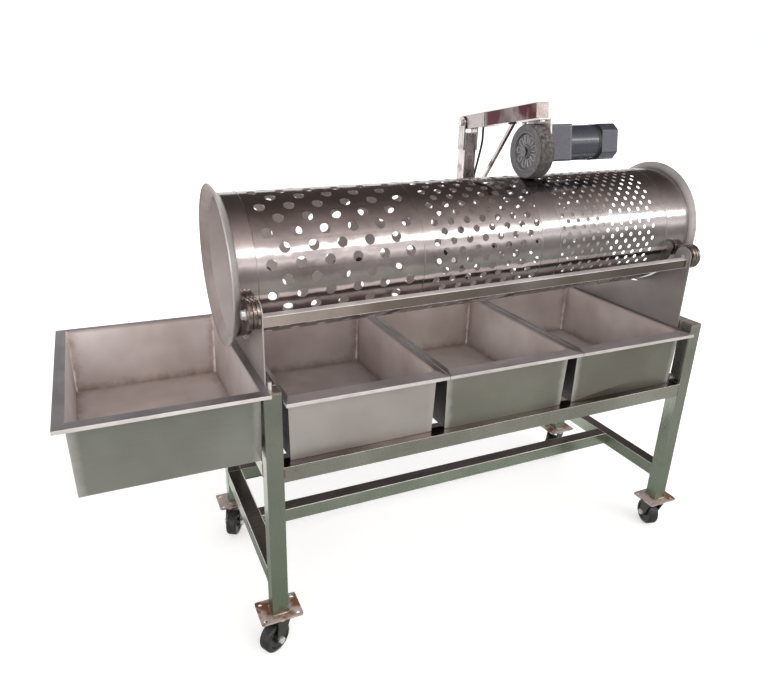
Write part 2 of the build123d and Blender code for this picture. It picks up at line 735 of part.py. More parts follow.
# Gearbox: a square housing, open to the motor's front shield, with a boss for the lead on top
gear_pitch_r = gear_module * gear_teeth / 2
pinion_pitch_r = gear_module * pinion_teeth / 2
gear_centres = gear_pitch_r + pinion_pitch_r
idler_at = (motor_at[0] + sqrt(gear_centres ** 2 - (shaft_offset / 2) ** 2), motor_at[1] - shaft_offset / 2)
motor_start = box_start + gearbox_long
lead_boss_at = box_start + 1.5 * lead_boss_r
lead_boss_foot = arm_point(lead_boss_at, motor_at[0], motor_at[1])
with BuildPart() as gearbox:
    with BuildSketch(arm_section(box_start)):
        with Locations(motor_at):
            RectangleRounded(gearbox_side, gearbox_side, gearbox_wall)
    extrude(amount=gearbox_long)
    with BuildSketch(Plane(origin=lead_boss_foot, x_dir=along, z_dir=arm_section(0).y_dir)):
        Circle(lead_boss_r)
    extrude(amount=gearbox_side / 2 + lead_boss_high)
    with BuildSketch(arm_section(box_start + gearbox_wall)):
        with Locations(motor_at):
            Rectangle(gearbox_side - 2 * gearbox_wall, gearbox_side - 2 * gearbox_wall)
    extrude(amount=gearbox_long, mode=Mode.SUBTRACT)
    with BuildSketch(arm_section(box_start)):
        with Locations(shaft_at):
            Circle(shaft_r + running_gap)
    extrude(amount=gearbox_wall, mode=Mode.SUBTRACT)
    with BuildSketch(arm_section(box_start + gearbox_wall)):
        with Locations(idler_at):
            Circle(gear_stub_r + running_gap)
    extrude(amount=-gear_stub_long, mode=Mode.SUBTRACT)
save(gearbox, "gearbox")

# Motor shell: front shield, barrel and rear shield
motor_end = motor_start + motor_long
with BuildPart() as motor_shell:
    with BuildSketch(arm_section(motor_start)):
        with Locations(motor_at):
            RectangleRounded(gearbox_side, gearbox_side, gearbox_wall)
    extrude(amount=motor_shield)
    with BuildSketch(arm_section(motor_start)):
        with Locations(motor_at):
            Circle(motor_r)
    extrude(amount=motor_long)
    with BuildSketch(arm_section(motor_start + motor_shield)):
        with Locations(motor_at):
            Circle(motor_r - motor_wall)
    extrude(amount=motor_long - 2 * motor_shield, mode=Mode.SUBTRACT)
    with BuildSketch(arm_section(motor_start)):
        with Locations(motor_at):
            Circle(rotor_shaft_r + running_gap)
    extrude(amount=motor_long, mode=Mode.SUBTRACT)
    with BuildSketch(arm_section(motor_start)):
        with Locations(idler_at):
            Circle(gear_stub_r + running_gap)
    extrude(amount=gear_stub_long, mode=Mode.SUBTRACT)
save(motor_shell, "motor_shell")

# Motor end cap: a square hood with broad chamfers over the fan, slotted at its end
with BuildPart() as motor_end_cap:
    with BuildSketch(arm_section(motor_end)):
        with Locations(motor_at):
            Rectangle(motor_cap_side, motor_cap_side)
        chamfer(vertices(), motor_cap_chamfer)
    extrude(amount=motor_cap_long)
    chamfer(motor_end_cap.faces().sort_by(Axis(hinge, along))[-1].edges(), motor_cap_chamfer / 3)
    with BuildSketch(arm_section(motor_end)):
        with Locations(motor_at):
            Circle(motor_r - motor_wall)
    extrude(amount=motor_cap_long - motor_cap_wall, mode=Mode.SUBTRACT)
    with BuildSketch(arm_section(motor_end + motor_cap_long)):
        with Locations(motor_at):
            with GridLocations(0, 3 * vent_wide, 1, vent_count):
                SlotOverall(vent_long, vent_wide)
    extrude(amount=-2 * motor_cap_wall, mode=Mode.SUBTRACT)
save(motor_end_cap, "motor_end_cap")


# Outline of a spur gear: teeth a little slimmer than half the pitch, so that they run free
def spur_gear(teeth, phase):
    pitch_r = gear_module * teeth / 2
    pitch = pi * gear_module
    tip = 0.85 * gear_module
    root = 1.2 * gear_module
    Circle(pitch_r - root)
    with PolarLocations(pitch_r, teeth, start_angle=phase):
        Polygon((-1.5 * root, -0.28 * pitch), (tip, -0.1 * pitch), (tip, 0.1 * pitch), (-1.5 * root, 0.28 * pitch),
                align=None)


# Gear train: a pinion on the rotor, a stepped idler, and a gear on the wheel shaft
idler_way = degrees(atan2(idler_at[1] - motor_at[1], idler_at[0] - motor_at[0]))
output_way = degrees(atan2(shaft_at[1] - idler_at[1], shaft_at[0] - idler_at[0]))
half_gap = 180 + 180 / gear_teeth
inside_start = box_start + gearbox_wall
output_gear_at = inside_start + gear_stub_long
idler_gear_at = motor_start - 3 * gear_stub_long - pinion_wide
with BuildPart() as motor_rotor:
    with BuildSketch(arm_section(idler_gear_at - gear_stub_long / 2)):
        with Locations(motor_at):
            spur_gear(pinion_teeth, idler_way)
    extrude(amount=pinion_wide)
    with BuildSketch(arm_section(idler_gear_at + pinion_wide - gear_stub_long)):
        with Locations(motor_at):
            Circle(rotor_shaft_r)
    extrude(amount=motor_end + motor_cap_long / 2 - idler_gear_at - pinion_wide + gear_stub_long)
    with BuildSketch(arm_section(motor_start + (motor_long - rotor_core_long) / 2)):
        with Locations(motor_at):
            Circle(rotor_core_r)
    extrude(amount=rotor_core_long)
    with BuildSketch(arm_section(motor_end + motor_cap_long / 2 - fan_thick)):
        with Locations(motor_at):
            Circle(fan_r)
    extrude(amount=fan_thick)
save(motor_rotor, "motor_rotor")

with BuildPart() as idler_gear:
    with BuildSketch(arm_section(output_gear_at - gear_stub_long / 2)):
        with Locations(idler_at):
            spur_gear(pinion_teeth, output_way)
    extrude(amount=idler_gear_at - output_gear_at + gear_stub_long)
    with BuildSketch(arm_section(idler_gear_at)):
        with Locations(idler_at):
            spur_gear(gear_teeth, idler_way + half_gap)
    extrude(amount=gear_wide)
    with BuildSketch(arm_section(inside_start - gear_stub_long + touch_gap)):
        with Locations(idler_at):
            Circle(gear_stub_r)
    extrude(amount=motor_start - inside_start + 2 * gear_stub_long - 2 * touch_gap)
save(idler_gear, "idler_gear")

with BuildPart() as output_gear:
    with BuildSketch(arm_section(output_gear_at)):
        with Locations(shaft_at):
            spur_gear(gear_teeth, output_way + half_gap)
            Circle(shaft_r, mode=Mode.SUBTRACT)
    extrude(amount=gear_wide)
save(output_gear, "output_gear")

# Drive wheel: a rubber tyre on a cast hub, clamped on the output shaft by a nut
tyre_end = leaf_face - hinge_side_gap
tyre_start = tyre_end - tyre_wide
tyre_middle = (tyre_start + tyre_end) / 2
hub_r = tyre_r - tyre_thick
with BuildPart() as drive_tyre:
    with BuildSketch(arm_section(tyre_start)):
        with Locations(shaft_at):
            Circle(tyre_r)
            Circle(hub_r, mode=Mode.SUBTRACT)
    extrude(amount=tyre_wide)
    chamfer(drive_tyre.edges().filter_by(GeomType.CIRCLE).sort_by(SortBy.RADIUS)[-2:], tyre_thick / 6)
save(drive_tyre, "drive_tyre")

with BuildPart() as drive_hub:
    with BuildSketch(arm_section(tyre_start)):
        with Locations(shaft_at):
            Circle(hub_r)
            Circle(hub_r - hub_rim_thick, mode=Mode.SUBTRACT)
    extrude(amount=tyre_wide)
    with BuildSketch(arm_section(tyre_middle - hub_web / 2)):
        with Locations(shaft_at):
            Circle(hub_r)
    extrude(amount=hub_web)
    with BuildSketch(arm_section(tyre_start)):
        with Locations(shaft_at):
            Circle(hub_boss_r)
    extrude(amount=tyre_wide)
    with BuildSketch(arm_section(tyre_start)):
        with Locations(shaft_at):
            Circle(shaft_r)
    extrude(amount=tyre_wide, mode=Mode.SUBTRACT)
save(drive_hub, "drive_hub")

with BuildPart() as drive_shaft:
    with BuildSketch(arm_section(tyre_start)):
        with Locations(shaft_at):
            Circle(shaft_r)
    extrude(amount=output_gear_at + gear_wide - tyre_start)
    with BuildSketch(arm_section(tyre_start)):
        with Locations(shaft_at):
            RegularPolygon(shaft_nut_r, 6)
    extrude(amount=-shaft_nut_high)
save(drive_shaft, "drive_shaft")

# Stay: a bar from the post up to the beam, with a rubber pad that stops the arm
pad_face = arm_point(0, -stay_reach, -beam / 2 - touch_gap)
pad_foot = arm_point(0, -stay_reach, -beam / 2 - touch_gap - stop_pad_thick)
arm_up = arm_section(0).y_dir
stay_foot = Vector(post_x, rear, hinge_height - stay_foot_below)
stay_run = pad_foot - stay_foot
with BuildPart() as stop_pad:
    with BuildSketch(Plane(origin=pad_foot, x_dir=along, z_dir=arm_up)):
        Rectangle(stay_bar + stop_pad_thick, stop_pad_long)
    extrude(amount=stop_pad_thick)
save(stop_pad, "stop_pad")

with BuildPart() as stay:
    with BuildSketch(Plane(origin=stay_foot - stay_run * 0.2, x_dir=(1, 0, 0), z_dir=stay_run.normalized())):
        Rectangle(stay_bar, stay_bar)
    extrude(amount=stay_run.length * 1.4)
    split(bisect_by=Plane(origin=stay_foot, z_dir=(0, -1, 0)), keep=Keep.TOP)
    split(bisect_by=Plane(origin=pad_foot, x_dir=along, z_dir=arm_up), keep=Keep.BOTTOM)
save(stay, "stay")

# Control box on the post's right face: housing, lid, speed knob and the lead's gland
box_left = post_x + tube / 2
box_middle_x = box_left + box_wide / 2
box_front = rear + box_set_back
box_rear = box_front + box_deep
box_middle_z = box_foot + box_high / 2
knob_z = box_middle_z + knob_above_middle
gland_at = (box_left + gland_in, box_front + box_deep / 2)
with BuildPart() as control_box:
    with BuildSketch(Plane(origin=(box_middle_x, box_front, box_middle_z), x_dir=(1, 0, 0), z_dir=(0, -1, 0))):
        Rectangle(box_wide, box_high)
    extrude(amount=-box_deep)
    with BuildSketch(Plane(origin=(box_middle_x, box_front + box_wall, box_middle_z), x_dir=(1, 0, 0), z_dir=(0, -1, 0))):
        Rectangle(box_wide - 2 * box_wall, box_high - 2 * box_wall)
    extrude(amount=-box_deep, mode=Mode.SUBTRACT)
save(control_box, "control_box")

with BuildPart() as control_lid:
    with BuildSketch(Plane(origin=(box_middle_x, box_rear, box_middle_z), x_dir=(1, 0, 0), z_dir=(0, -1, 0))):
        Rectangle(box_wide, box_high)
        with Locations((0, knob_z - box_middle_z)):
            Circle(knob_shaft_r + running_gap, mode=Mode.SUBTRACT)
    extrude(amount=-lid_thick)
save(control_lid, "control_lid")

with BuildPart() as speed_knob:
    knob_plane = Plane(origin=(box_middle_x, box_rear + lid_thick + touch_gap, knob_z), x_dir=(1, 0, 0), z_dir=(0, -1, 0))
    with BuildSketch(knob_plane):
        Circle(knob_r)
    extrude(amount=-knob_high, taper=6)
    with BuildSketch(knob_plane):
        Circle(knob_shaft_r)
    extrude(amount=knob_shaft_long)
save(speed_knob, "speed_knob")

with BuildPart() as box_gland:
    with BuildSketch(Plane.XY.offset(box_foot + box_high)):
        with Locations(gland_at):
            RegularPolygon(gland_r, 6)
    extrude(amount=gland_high / 2)
    with BuildSketch(Plane.XY.offset(box_foot + box_high + gland_high / 2)):
        with Locations(gland_at):
            Circle(gland_r * 0.8)
    extrude(amount=gland_high / 2, taper=12)
save(box_gland, "box_gland")


# Round lead along straight runs joined by the largest arcs that the runs allow
def lay_lead(points):
    radii = []
    for before, corner, after in zip(points, points[1:], points[2:]):
        turn = (corner - before).get_angle(after - corner)
        shorter = min((corner - before).length, (after - corner).length)
        radii.append(0.45 * shorter / tan(radians(turn / 2)))
    with BuildLine() as route:
        FilletPolyline(*points, radius=radii)
    start_way = (points[1] - points[0]).normalized()
    with BuildSketch(Plane(origin=points[0], z_dir=start_way)) as section:
        Circle(lead_r)
    sweep(section.sketch, path=route.wire())


# Motor lead: out of the gearbox boss, back along the beam's right side and down in front of the
# hinge; then down the post's right side into the gland
lead_beside = beam / 2 + lead_r + 1.5
lead_boss_top = motor_at[1] + gearbox_side / 2 + lead_boss_high
lead_split = arm_point(lead_beside, -40, -38)
lead_down = arm_point(lead_beside, -37, -60) - lead_split
arm_route = [
    arm_point(lead_boss_at, -wheel_reach, lead_boss_top),
    arm_point(lead_boss_at, -wheel_reach, lead_boss_top + 20),
    arm_point(lead_boss_at - 5, -wheel_reach + 30, 6),
    arm_point(lead_beside + 1, -wheel_reach + 75, 3),
    arm_point(lead_beside, -wheel_reach + 135, 0),
    arm_point(lead_beside, -wheel_reach + 190, 2),
    arm_point(lead_beside, -64, 0),
    lead_split - lead_down,
    lead_split,
]
post_side = post_x + tube / 2 + lead_r + 1.5
gland_top = box_foot + box_high + gland_high
post_route = [
    lead_split,
    lead_split + lead_down,
    Vector(post_side + 2, rear - 6, lead_split.Z - 74),
    Vector(post_side + 2, rear + 10, lead_split.Z - 120),
    Vector(post_side, rear + 20, lead_split.Z - 180),
    Vector(post_side, rear + 21, lead_split.Z - 250),
    Vector(post_side, rear + 20, lead_split.Z - 310),
    Vector(post_side + 1, rear + 20, lead_split.Z - 370),
    Vector(post_side + 2, rear + 22, gland_top + 70),
    Vector(gland_at[0] - 5, gland_at[1] - 5, gland_top + 40),
    Vector(gland_at[0], gland_at[1], gland_top + 20),
    Vector(gland_at[0], gland_at[1], gland_top),
]
with BuildPart() as motor_lead_arm:
    lay_lead(arm_route)
save(motor_lead_arm, "motor_lead_arm")

with BuildPart() as motor_lead_post:
    lay_lead(post_route)
save(motor_lead_post, "motor_lead_post")
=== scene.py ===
import json
import random
from math import cos, pi, radians, sin

import bmesh
import bpy
from mathutils import Matrix, Vector


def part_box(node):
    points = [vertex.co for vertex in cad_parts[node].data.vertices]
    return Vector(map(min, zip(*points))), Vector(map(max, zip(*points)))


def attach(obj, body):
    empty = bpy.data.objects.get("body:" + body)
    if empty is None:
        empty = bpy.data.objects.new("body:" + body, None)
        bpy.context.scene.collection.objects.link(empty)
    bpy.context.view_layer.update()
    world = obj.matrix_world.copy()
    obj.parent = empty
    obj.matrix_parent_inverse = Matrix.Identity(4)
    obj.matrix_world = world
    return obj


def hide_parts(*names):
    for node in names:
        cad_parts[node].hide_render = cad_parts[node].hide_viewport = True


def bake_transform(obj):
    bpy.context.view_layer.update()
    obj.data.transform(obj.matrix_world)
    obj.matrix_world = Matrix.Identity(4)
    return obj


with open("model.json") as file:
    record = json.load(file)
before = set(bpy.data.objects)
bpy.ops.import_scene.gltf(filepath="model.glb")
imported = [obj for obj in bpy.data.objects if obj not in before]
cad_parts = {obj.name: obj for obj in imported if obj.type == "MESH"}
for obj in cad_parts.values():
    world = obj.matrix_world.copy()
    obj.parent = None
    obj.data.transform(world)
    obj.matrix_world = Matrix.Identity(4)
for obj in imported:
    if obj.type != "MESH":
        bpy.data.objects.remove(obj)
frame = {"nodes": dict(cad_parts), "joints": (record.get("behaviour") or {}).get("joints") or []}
nodes = frame["nodes"]
joints = {joint["name"]: joint for joint in frame["joints"]}
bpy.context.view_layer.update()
scene = bpy.context.scene
scene.view_settings.view_transform = "Standard"

# Camera: held by hand above and to the left of the machine's front, tipped a little to one side.
# Its place is counted from the outer corner of the front left leg, at the leg's top.
leg_low, leg_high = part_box("legs")
corner_x = leg_low[0]
corner_y = leg_low[1]
leg_top = leg_high[2]
photo_width = 765
focal_px = 639.97
yaw = radians(25.082)
pitch = radians(21.05)
roll = radians(1.664)
forward = Vector((sin(yaw) * cos(pitch), cos(yaw) * cos(pitch), -sin(pitch)))
level_right = Vector((cos(yaw), -sin(yaw), 0))
level_up = level_right.cross(forward)
right = level_right * cos(roll) + level_up * sin(roll)
up = level_up * cos(roll) - level_right * sin(roll)
camera_place = Vector((corner_x - 0.29236, corner_y - 1.21206, leg_top + 0.60862))
camera_turn = Matrix((right, up, -forward)).transposed().to_4x4()
camera_data = bpy.data.cameras.new("camera")
camera_data.sensor_fit = "HORIZONTAL"
camera_data.sensor_width = 36.0
camera_data.lens = focal_px * camera_data.sensor_width / photo_width
camera_data.clip_end = 100.0
camera = bpy.data.objects.new("camera", camera_data)
scene.collection.objects.link(camera)
camera.matrix_world = Matrix.Translation(camera_place) @ camera_turn
scene.camera = camera

# Room: white all round for the camera and in the metal, dimmer where it only fills the shade.
# It is the world's own background and has no walls.


# Inputs of a node by name or place, each a value or the output of another node
def feed(tree, node, inputs):
    for label, value in inputs.items():
        if isinstance(value, bpy.types.NodeSocket):
            tree.links.new(value, node.inputs[label])
        else:
            node.inputs[label].default_value = value


# Node in a tree with its inputs and settings
def add_node(tree, kind, inputs, **settings):
    node = tree.nodes.new("ShaderNode" + kind)
    for setting, value in settings.items():
        setattr(node, setting, value)
    feed(tree, node, inputs)
    return node


# One step of arithmetic on values or outputs
def work_out(tree, operation, *terms):
    return add_node(tree, "Math", dict(enumerate(terms)), operation=operation).outputs[0]


# 1 for rays that look at a surface, straight, in a mirror or through glass, and 0 for the rest
def looked_at(tree):
    path = add_node(tree, "LightPath", {}).outputs
    in_metal = work_out(tree, "MAXIMUM", path["Is Camera Ray"], path["Is Glossy Ray"])
    return work_out(tree, "MAXIMUM", in_metal, path["Is Transmission Ray"])


world = bpy.data.worlds.new("white_room")
scene.world = world
world.use_nodes = True
room = world.node_tree
room.nodes.clear()
room_fill = add_node(room, "Background", {"Color": (1.0, 0.985, 0.97, 1), "Strength": 0.8}).outputs[0]
room_seen = add_node(room, "Background", {"Color": (1, 1, 1, 1), "Strength": 1.0}).outputs[0]
room_both = add_node(room, "MixShader", {"Fac": looked_at(room), 1: room_fill, 2: room_seen})
add_node(room, "OutputWorld", {"Surface": room_both.outputs[0]})

# Floor: a pale studio floor that keeps the machine's shadow. Where it is looked at, it glows more
# the further out it is, and so runs into the white room.


# Place of a point on an object, in metres
def object_place(tree):
    return add_node(tree, "TexCoord", {}).outputs["Object"]


# One step of vector arithmetic: gives a Vector, or a Value for a length or a dot product
def vector_step(tree, operation, *terms):
    return add_node(tree, "VectorMath", dict(enumerate(terms)), operation=operation).outputs


# Value stretched from one range to another
def spread_value(tree, value, low, high, first=0.0, second=1.0):
    inputs = {"Value": value, "From Min": low, "From Max": high, "To Min": first, "To Max": second}
    return add_node(tree, "MapRange", inputs).outputs["Result"]


# Flat sheet of the stage, which isn't part of the machine, from a first to a last place along Y
def stage_sheet(name, x_reach, first, last, level, material):
    corners = [(-x_reach, first, level), (x_reach, first, level),
               (x_reach, last, level), (-x_reach, last, level)]
    mesh = bpy.data.meshes.new(name)
    mesh.from_pydata(corners, [], [(0, 1, 2, 3)])
    mesh.materials.append(material)
    sheet = bpy.data.objects.new(name, mesh)
    scene.collection.objects.link(sheet)
    return sheet


floor_reach = 30.0
glow_near = 1.2
glow_far = 4.0
floor_material = bpy.data.materials.new("pale_floor")
floor_material.use_nodes = True
floor_tree = floor_material.node_tree
floor_tree.nodes.clear()
floor_far = vector_step(floor_tree, "LENGTH", object_place(floor_tree))["Value"]
floor_rise = spread_value(floor_tree, floor_far, glow_near, glow_far, 0.40, 1.0)
floor_strength = work_out(floor_tree, "MULTIPLY", looked_at(floor_tree), floor_rise)
floor_matt = add_node(floor_tree, "BsdfDiffuse", {"Color": (0.80, 0.80, 0.80, 1)}).outputs[0]
glow = {"Color": (1, 1, 1, 1), "Strength": floor_strength}
floor_glow = add_node(floor_tree, "Emission", glow).outputs[0]
floor_both = add_node(floor_tree, "AddShader", {0: floor_matt, 1: floor_glow})
add_node(floor_tree, "OutputMaterial", {"Surface": floor_both.outputs[0]})
stage_sheet("floor", floor_reach, -floor_reach, floor_reach, 0.0, floor_material)


# Lamps: a wide soft wall of light in front of the machine, and a narrower, brighter strip higher up
# that the metal mirrors. Angles are from level, at a point near the middle of the drum.
def soft_box(name, angle, distance, width, height, power, colour, mirrored):
    lamp = bpy.data.lights.new(name, "AREA")
    lamp.shape = "RECTANGLE"
    lamp.size = width
    lamp.size_y = height
    lamp.energy = power
    lamp.color = colour
    target = Vector((0.2, 0.0, 0.95))
    place = target + Vector((0, -cos(radians(angle)), sin(radians(angle)))) * distance
    holder = bpy.data.objects.new(name, lamp)
    holder.location = place
    holder.rotation_euler = (target - place).to_track_quat("-Z", "Y").to_euler()
    holder.visible_camera = False
    holder.visible_glossy = mirrored
    scene.collection.objects.link(holder)


soft_box("front_wall", angle=23, distance=3.6, width=9.0, height=1.6, power=92,
         colour=(1.0, 0.975, 0.95), mirrored=False)
soft_box("front_strip", angle=29.5, distance=3.5, width=9.0, height=0.58, power=60,
         colour=(1.0, 0.995, 0.99), mirrored=True)

# Boards out of the picture that the bright metal mirrors: a dim ceiling that lightens towards the
# front, a front wall that is dark low down and a mat on the floor. Stops give the tone at places
# from front to back, or from the floor up on a board that stands.


# The X, Y and Z of a vector
def split_vector(tree, vector):
    return add_node(tree, "SeparateXYZ", {0: vector}).outputs


# New material, its node tree and its shader
def new_finish(name):
    material = bpy.data.materials.new(name)
    material.use_nodes = True
    return material, material.node_tree, material.node_tree.nodes["Principled BSDF"]


# Board that lies at a level, or stands in front of the machine at that distance from its middle
def mirror_board(name, level, x_reach, stops, upright=False):
    first = stops[0][0]
    last = stops[-1][0]
    material, tree, shader = new_finish(name)
    along = spread_value(tree, split_vector(tree, object_place(tree))["Y"], first, last)
    ramp = add_node(tree, "ValToRGB", {"Fac": along})
    tones = ramp.color_ramp.elements
    tones[0].color = (*stops[0][1], 1)
    tones[1].color = (*stops[-1][1], 1)
    for place, colour in stops[1:-1]:
        tones.new((place - first) / (last - first)).color = (*colour, 1)
    feed(tree, shader, {"Base Color": (0, 0, 0, 1), "Roughness": 1.0, "Specular IOR Level": 0.0,
                        "Emission Color": ramp.outputs["Color"], "Emission Strength": 1.0})
    board = stage_sheet(name, x_reach, first, last, level, material)
    board.visible_camera = False
    board.visible_diffuse = False
    board.visible_shadow = False
    board.visible_transmission = False
    board.rotation_euler.x = radians(90) if upright else 0.0


mirror_board("ceiling_board", level=3.6, x_reach=9.0, stops=[
    (-3.9, (1.45, 1.36, 1.33)), (-2.9, (0.95, 0.87, 0.845)), (-2.2, (0.68, 0.61, 0.585)),
    (-1.5, (0.46, 0.40, 0.38)), (-0.9, (0.33, 0.28, 0.262)), (-0.4, (0.235, 0.197, 0.183)),
    (0.1, (0.155, 0.129, 0.119)), (0.65, (0.105, 0.087, 0.08)), (1.4, (0.085, 0.07, 0.064)),
    (6.0, (0.078, 0.065, 0.06))])
mirror_board("front_board", level=3.9, x_reach=9.0, upright=True, stops=[
    (0.0, (0.32, 0.30, 0.295)), (0.95, (0.40, 0.37, 0.365)), (1.35, (0.74, 0.69, 0.685)),
    (1.75, (1.60, 1.53, 1.52)), (2.1, (1.10, 1.04, 1.03)), (2.6, (0.95, 0.90, 0.89)),
    (3.6, (1.45, 1.36, 1.33))])
mirror_board("floor_mat", level=0.012, x_reach=7.0, stops=[
    (-8.0, (0.40, 0.37, 0.36)), (-3.5, (0.44, 0.42, 0.40)), (-2.2, (0.48, 0.47, 0.44)),
    (-1.5, (0.39, 0.39, 0.36)), (-0.8, (0.42, 0.425, 0.395)), (0.25, (0.40, 0.41, 0.38))])

# Frame: legs, rails and stretcher of bare square stainless tube, dull polished along its length
# and welded at every joint. Low down the steel is tinted green, a painted reflection of a green floor,
# and the low rails' eased edges take a paler steel, painted highlight and wear both.


# Empty node group with named inputs of given kinds and named outputs that are numbers
def new_group(name, inputs, outputs):
    group = bpy.data.node_groups.new(name, "ShaderNodeTree")
    for label, kind in inputs.items():
        group.interface.new_socket(label, in_out="INPUT", socket_type=kind)
    for label in outputs:
        group.interface.new_socket(label, in_out="OUTPUT", socket_type="NodeSocketFloat")
    return group, group.nodes.new("NodeGroupInput").outputs, group.nodes.new("NodeGroupOutput")


# Value from 0 to 1 that varies unevenly over a surface
def uneven_value(tree, place, scale, detail, rough=0.5):
    inputs = {"Vector": place, "Scale": scale, "Detail": detail, "Roughness": rough}
    return add_node(tree, "TexNoise", inputs).outputs["Fac"]


# Steel's brushed grain, its broad clouds and its small smudges
steel_surface, surface_in, surface_out = new_group(
    "steel_surface", {"Grain Scale": "NodeSocketVector", "Cloud Scale": "NodeSocketFloat"},
    ("Grain", "Cloud", "Smudge"))
surface_place = object_place(steel_surface)
grain_place = vector_step(steel_surface, "MULTIPLY", surface_place, surface_in["Grain Scale"])["Vector"]
feed(steel_surface, surface_out, {
    "Grain": uneven_value(steel_surface, grain_place, scale=1.0, detail=3.0),
    "Cloud": uneven_value(steel_surface, surface_place, surface_in["Cloud Scale"], detail=3.0, rough=0.55),
    "Smudge": uneven_value(steel_surface, surface_place, scale=31.0, detail=6.0, rough=0.7)})


# Mix of two tones by a value, stretched from low to high first
def tone_between(tree, value, low, high, first, second, blend="MIX"):
    inputs = {"Factor": spread_value(tree, value, low, high)}
    for label, tone in (("A", first), ("B", second)):
        inputs[label] = tone if isinstance(tone, bpy.types.NodeSocket) else (*tone, 1)
    return add_node(tree, "Mix", inputs, data_type="RGBA", blend_type=blend).outputs["Result"]


# Normal of a surface that a value raises, over another normal where one is given
def relief(tree, height, strength=1.0, distance=0.001, over=None):
    inputs = {"Height": height, "Strength": strength, "Distance": distance}
    if over is not None:
        inputs["Normal"] = over
    return add_node(tree, "Bump", inputs).outputs["Normal"]


smudge_tone = (0.80, 0.78, 0.76)
foot_from = 0.55
foot_full = 0.05


# Bare stainless steel: the dark and light tone of its clouds, its roughness, the scale of its grain
# and clouds, the height of its grain, the painted reflection it takes low down and the depth of its dents
def bare_steel(name, dark, light, rough, grain, cloud, bump=0.03, metal=1.0, foot=None, dents=0.0):
    material, tree, shader = new_finish(name)
    scales = {"Grain Scale": grain, "Cloud Scale": cloud}
    surface = add_node(tree, "Group", scales, node_tree=steel_surface).outputs
    tone = tone_between(tree, surface["Cloud"], 0.36, 0.64, dark, light)
    tone = tone_between(tree, surface["Smudge"], 0.56, 0.86, tone, smudge_tone, "MULTIPLY")
    # Low down the tone is multiplied towards the foot colour: a painted reflection of the floor
    if foot:
        height = split_vector(tree, object_place(tree))["Z"]
        tone = tone_between(tree, height, foot_from, foot_full, tone, foot, "MULTIPLY")
    dented = relief(tree, surface["Cloud"], distance=dents) if dents else None
    feed(tree, shader, {
        "Base Color": tone,
        "Metallic": metal,
        "Roughness": spread_value(tree, surface["Grain"], 0.25, 0.75, rough * 0.82, rough * 1.18),
        "Normal": relief(tree, surface["Grain"], bump, over=dented)})
    return material


# Another tone over a material's own, coming in as a value goes from a first level to a second
def shade_by(material, value, first, second, colour, blend="MULTIPLY"):
    tree = material.node_tree
    base = tree.nodes["Principled BSDF"].inputs["Base Color"]
    tone = tone_between(tree, value, first, second, base.links[0].from_socket, colour, blend)
    tree.links.new(tone, base)


# Patches of another colour over a material's own, such as rust or heat tint
def add_patches(material, colour, scale, low, high):
    tree = material.node_tree
    shade_by(material, uneven_value(tree, object_place(tree), scale, detail=4.0), low, high, colour, "MIX")


# Tone that a material takes towards one end of a piece, from a first place along a line to a second
def shade_towards(material, way, first, second, colour, blend="MULTIPLY"):
    tree = material.node_tree
    along = vector_step(tree, "DOT_PRODUCT", object_place(tree), way)["Value"]
    shade_by(material, along, first, second, colour, blend)


# Soft edge on a pressed, drawn or turned piece, so that its corners catch the light: its faces are
# joined first. The last argument is the place in its list of the material that its edges take, a paler
# steel painted on as highlight and wear both, or -1 for none
def ease_edges(node, width, steps, edge_slot):
    weld = nodes[node].modifiers.new("joined_faces", "WELD")
    weld.merge_threshold = 0.00002
    ease = nodes[node].modifiers.new("eased_edges", "BEVEL")
    ease.width = width
    ease.segments = steps
    ease.limit_method = "ANGLE"
    ease.angle_limit = radians(40)
    ease.harden_normals = True
    ease.material = edge_slot


# One material on a whole piece, with its edges eased where a width is given
def dress(node, material, edge=0.0, steps=2):
    data = nodes[node].data
    data.materials.clear()
    data.materials.append(material)
    if edge:
        ease_edges(node, edge, steps, edge_slot=-1)


# A material for each kind of face on a piece: choose gives a face's place in the list
def dress_faces(node, materials, choose, edge=0.0, steps=2, edge_slot=-1):
    data = nodes[node].data
    data.materials.clear()
    for material in materials:
        data.materials.append(material)
    for face in data.polygons:
        face.material_index = choose(face.center, face.normal)
    if edge:
        ease_edges(node, edge, steps, edge_slot)


# Faces that look up take the second material and the rest the first
def top_face(centre, normal):
    return 1 if normal.z > 0.7 else 0


# Scales of grain that is brushed along X, along Y or upright: coarse along it and fine across it
along_x = (4, 260, 260)
along_y = (260, 4, 260)
along_z = (260, 260, 4)
# Green tint for the frame low down: a painted reflection of a green floor
painted_floor_reflection = (0.70, 0.86, 0.74)
leg_steel = bare_steel("leg_steel", (0.35, 0.375, 0.32), (0.49, 0.50, 0.45), rough=0.28,
                       grain=along_z, cloud=2.2, bump=0.008, foot=painted_floor_reflection)
rail_steel = bare_steel("rail_steel", (0.46, 0.45, 0.41), (0.68, 0.66, 0.615), rough=0.27,
                        grain=along_x, cloud=2.6, bump=0.012, foot=painted_floor_reflection)
cross_steel = bare_steel("cross_steel", (0.30, 0.29, 0.26), (0.46, 0.44, 0.40), rough=0.28,
                         grain=along_y, cloud=3.2, bump=0.012, foot=painted_floor_reflection)
# Dark steel for the tops of the bin and low rails: painted shade for the dark that their tops mirror
shade_steel = bare_steel("shade_steel", (0.075, 0.062, 0.056), (0.17, 0.145, 0.132), rough=0.30,
                         grain=along_x, cloud=4.0, bump=0.012)
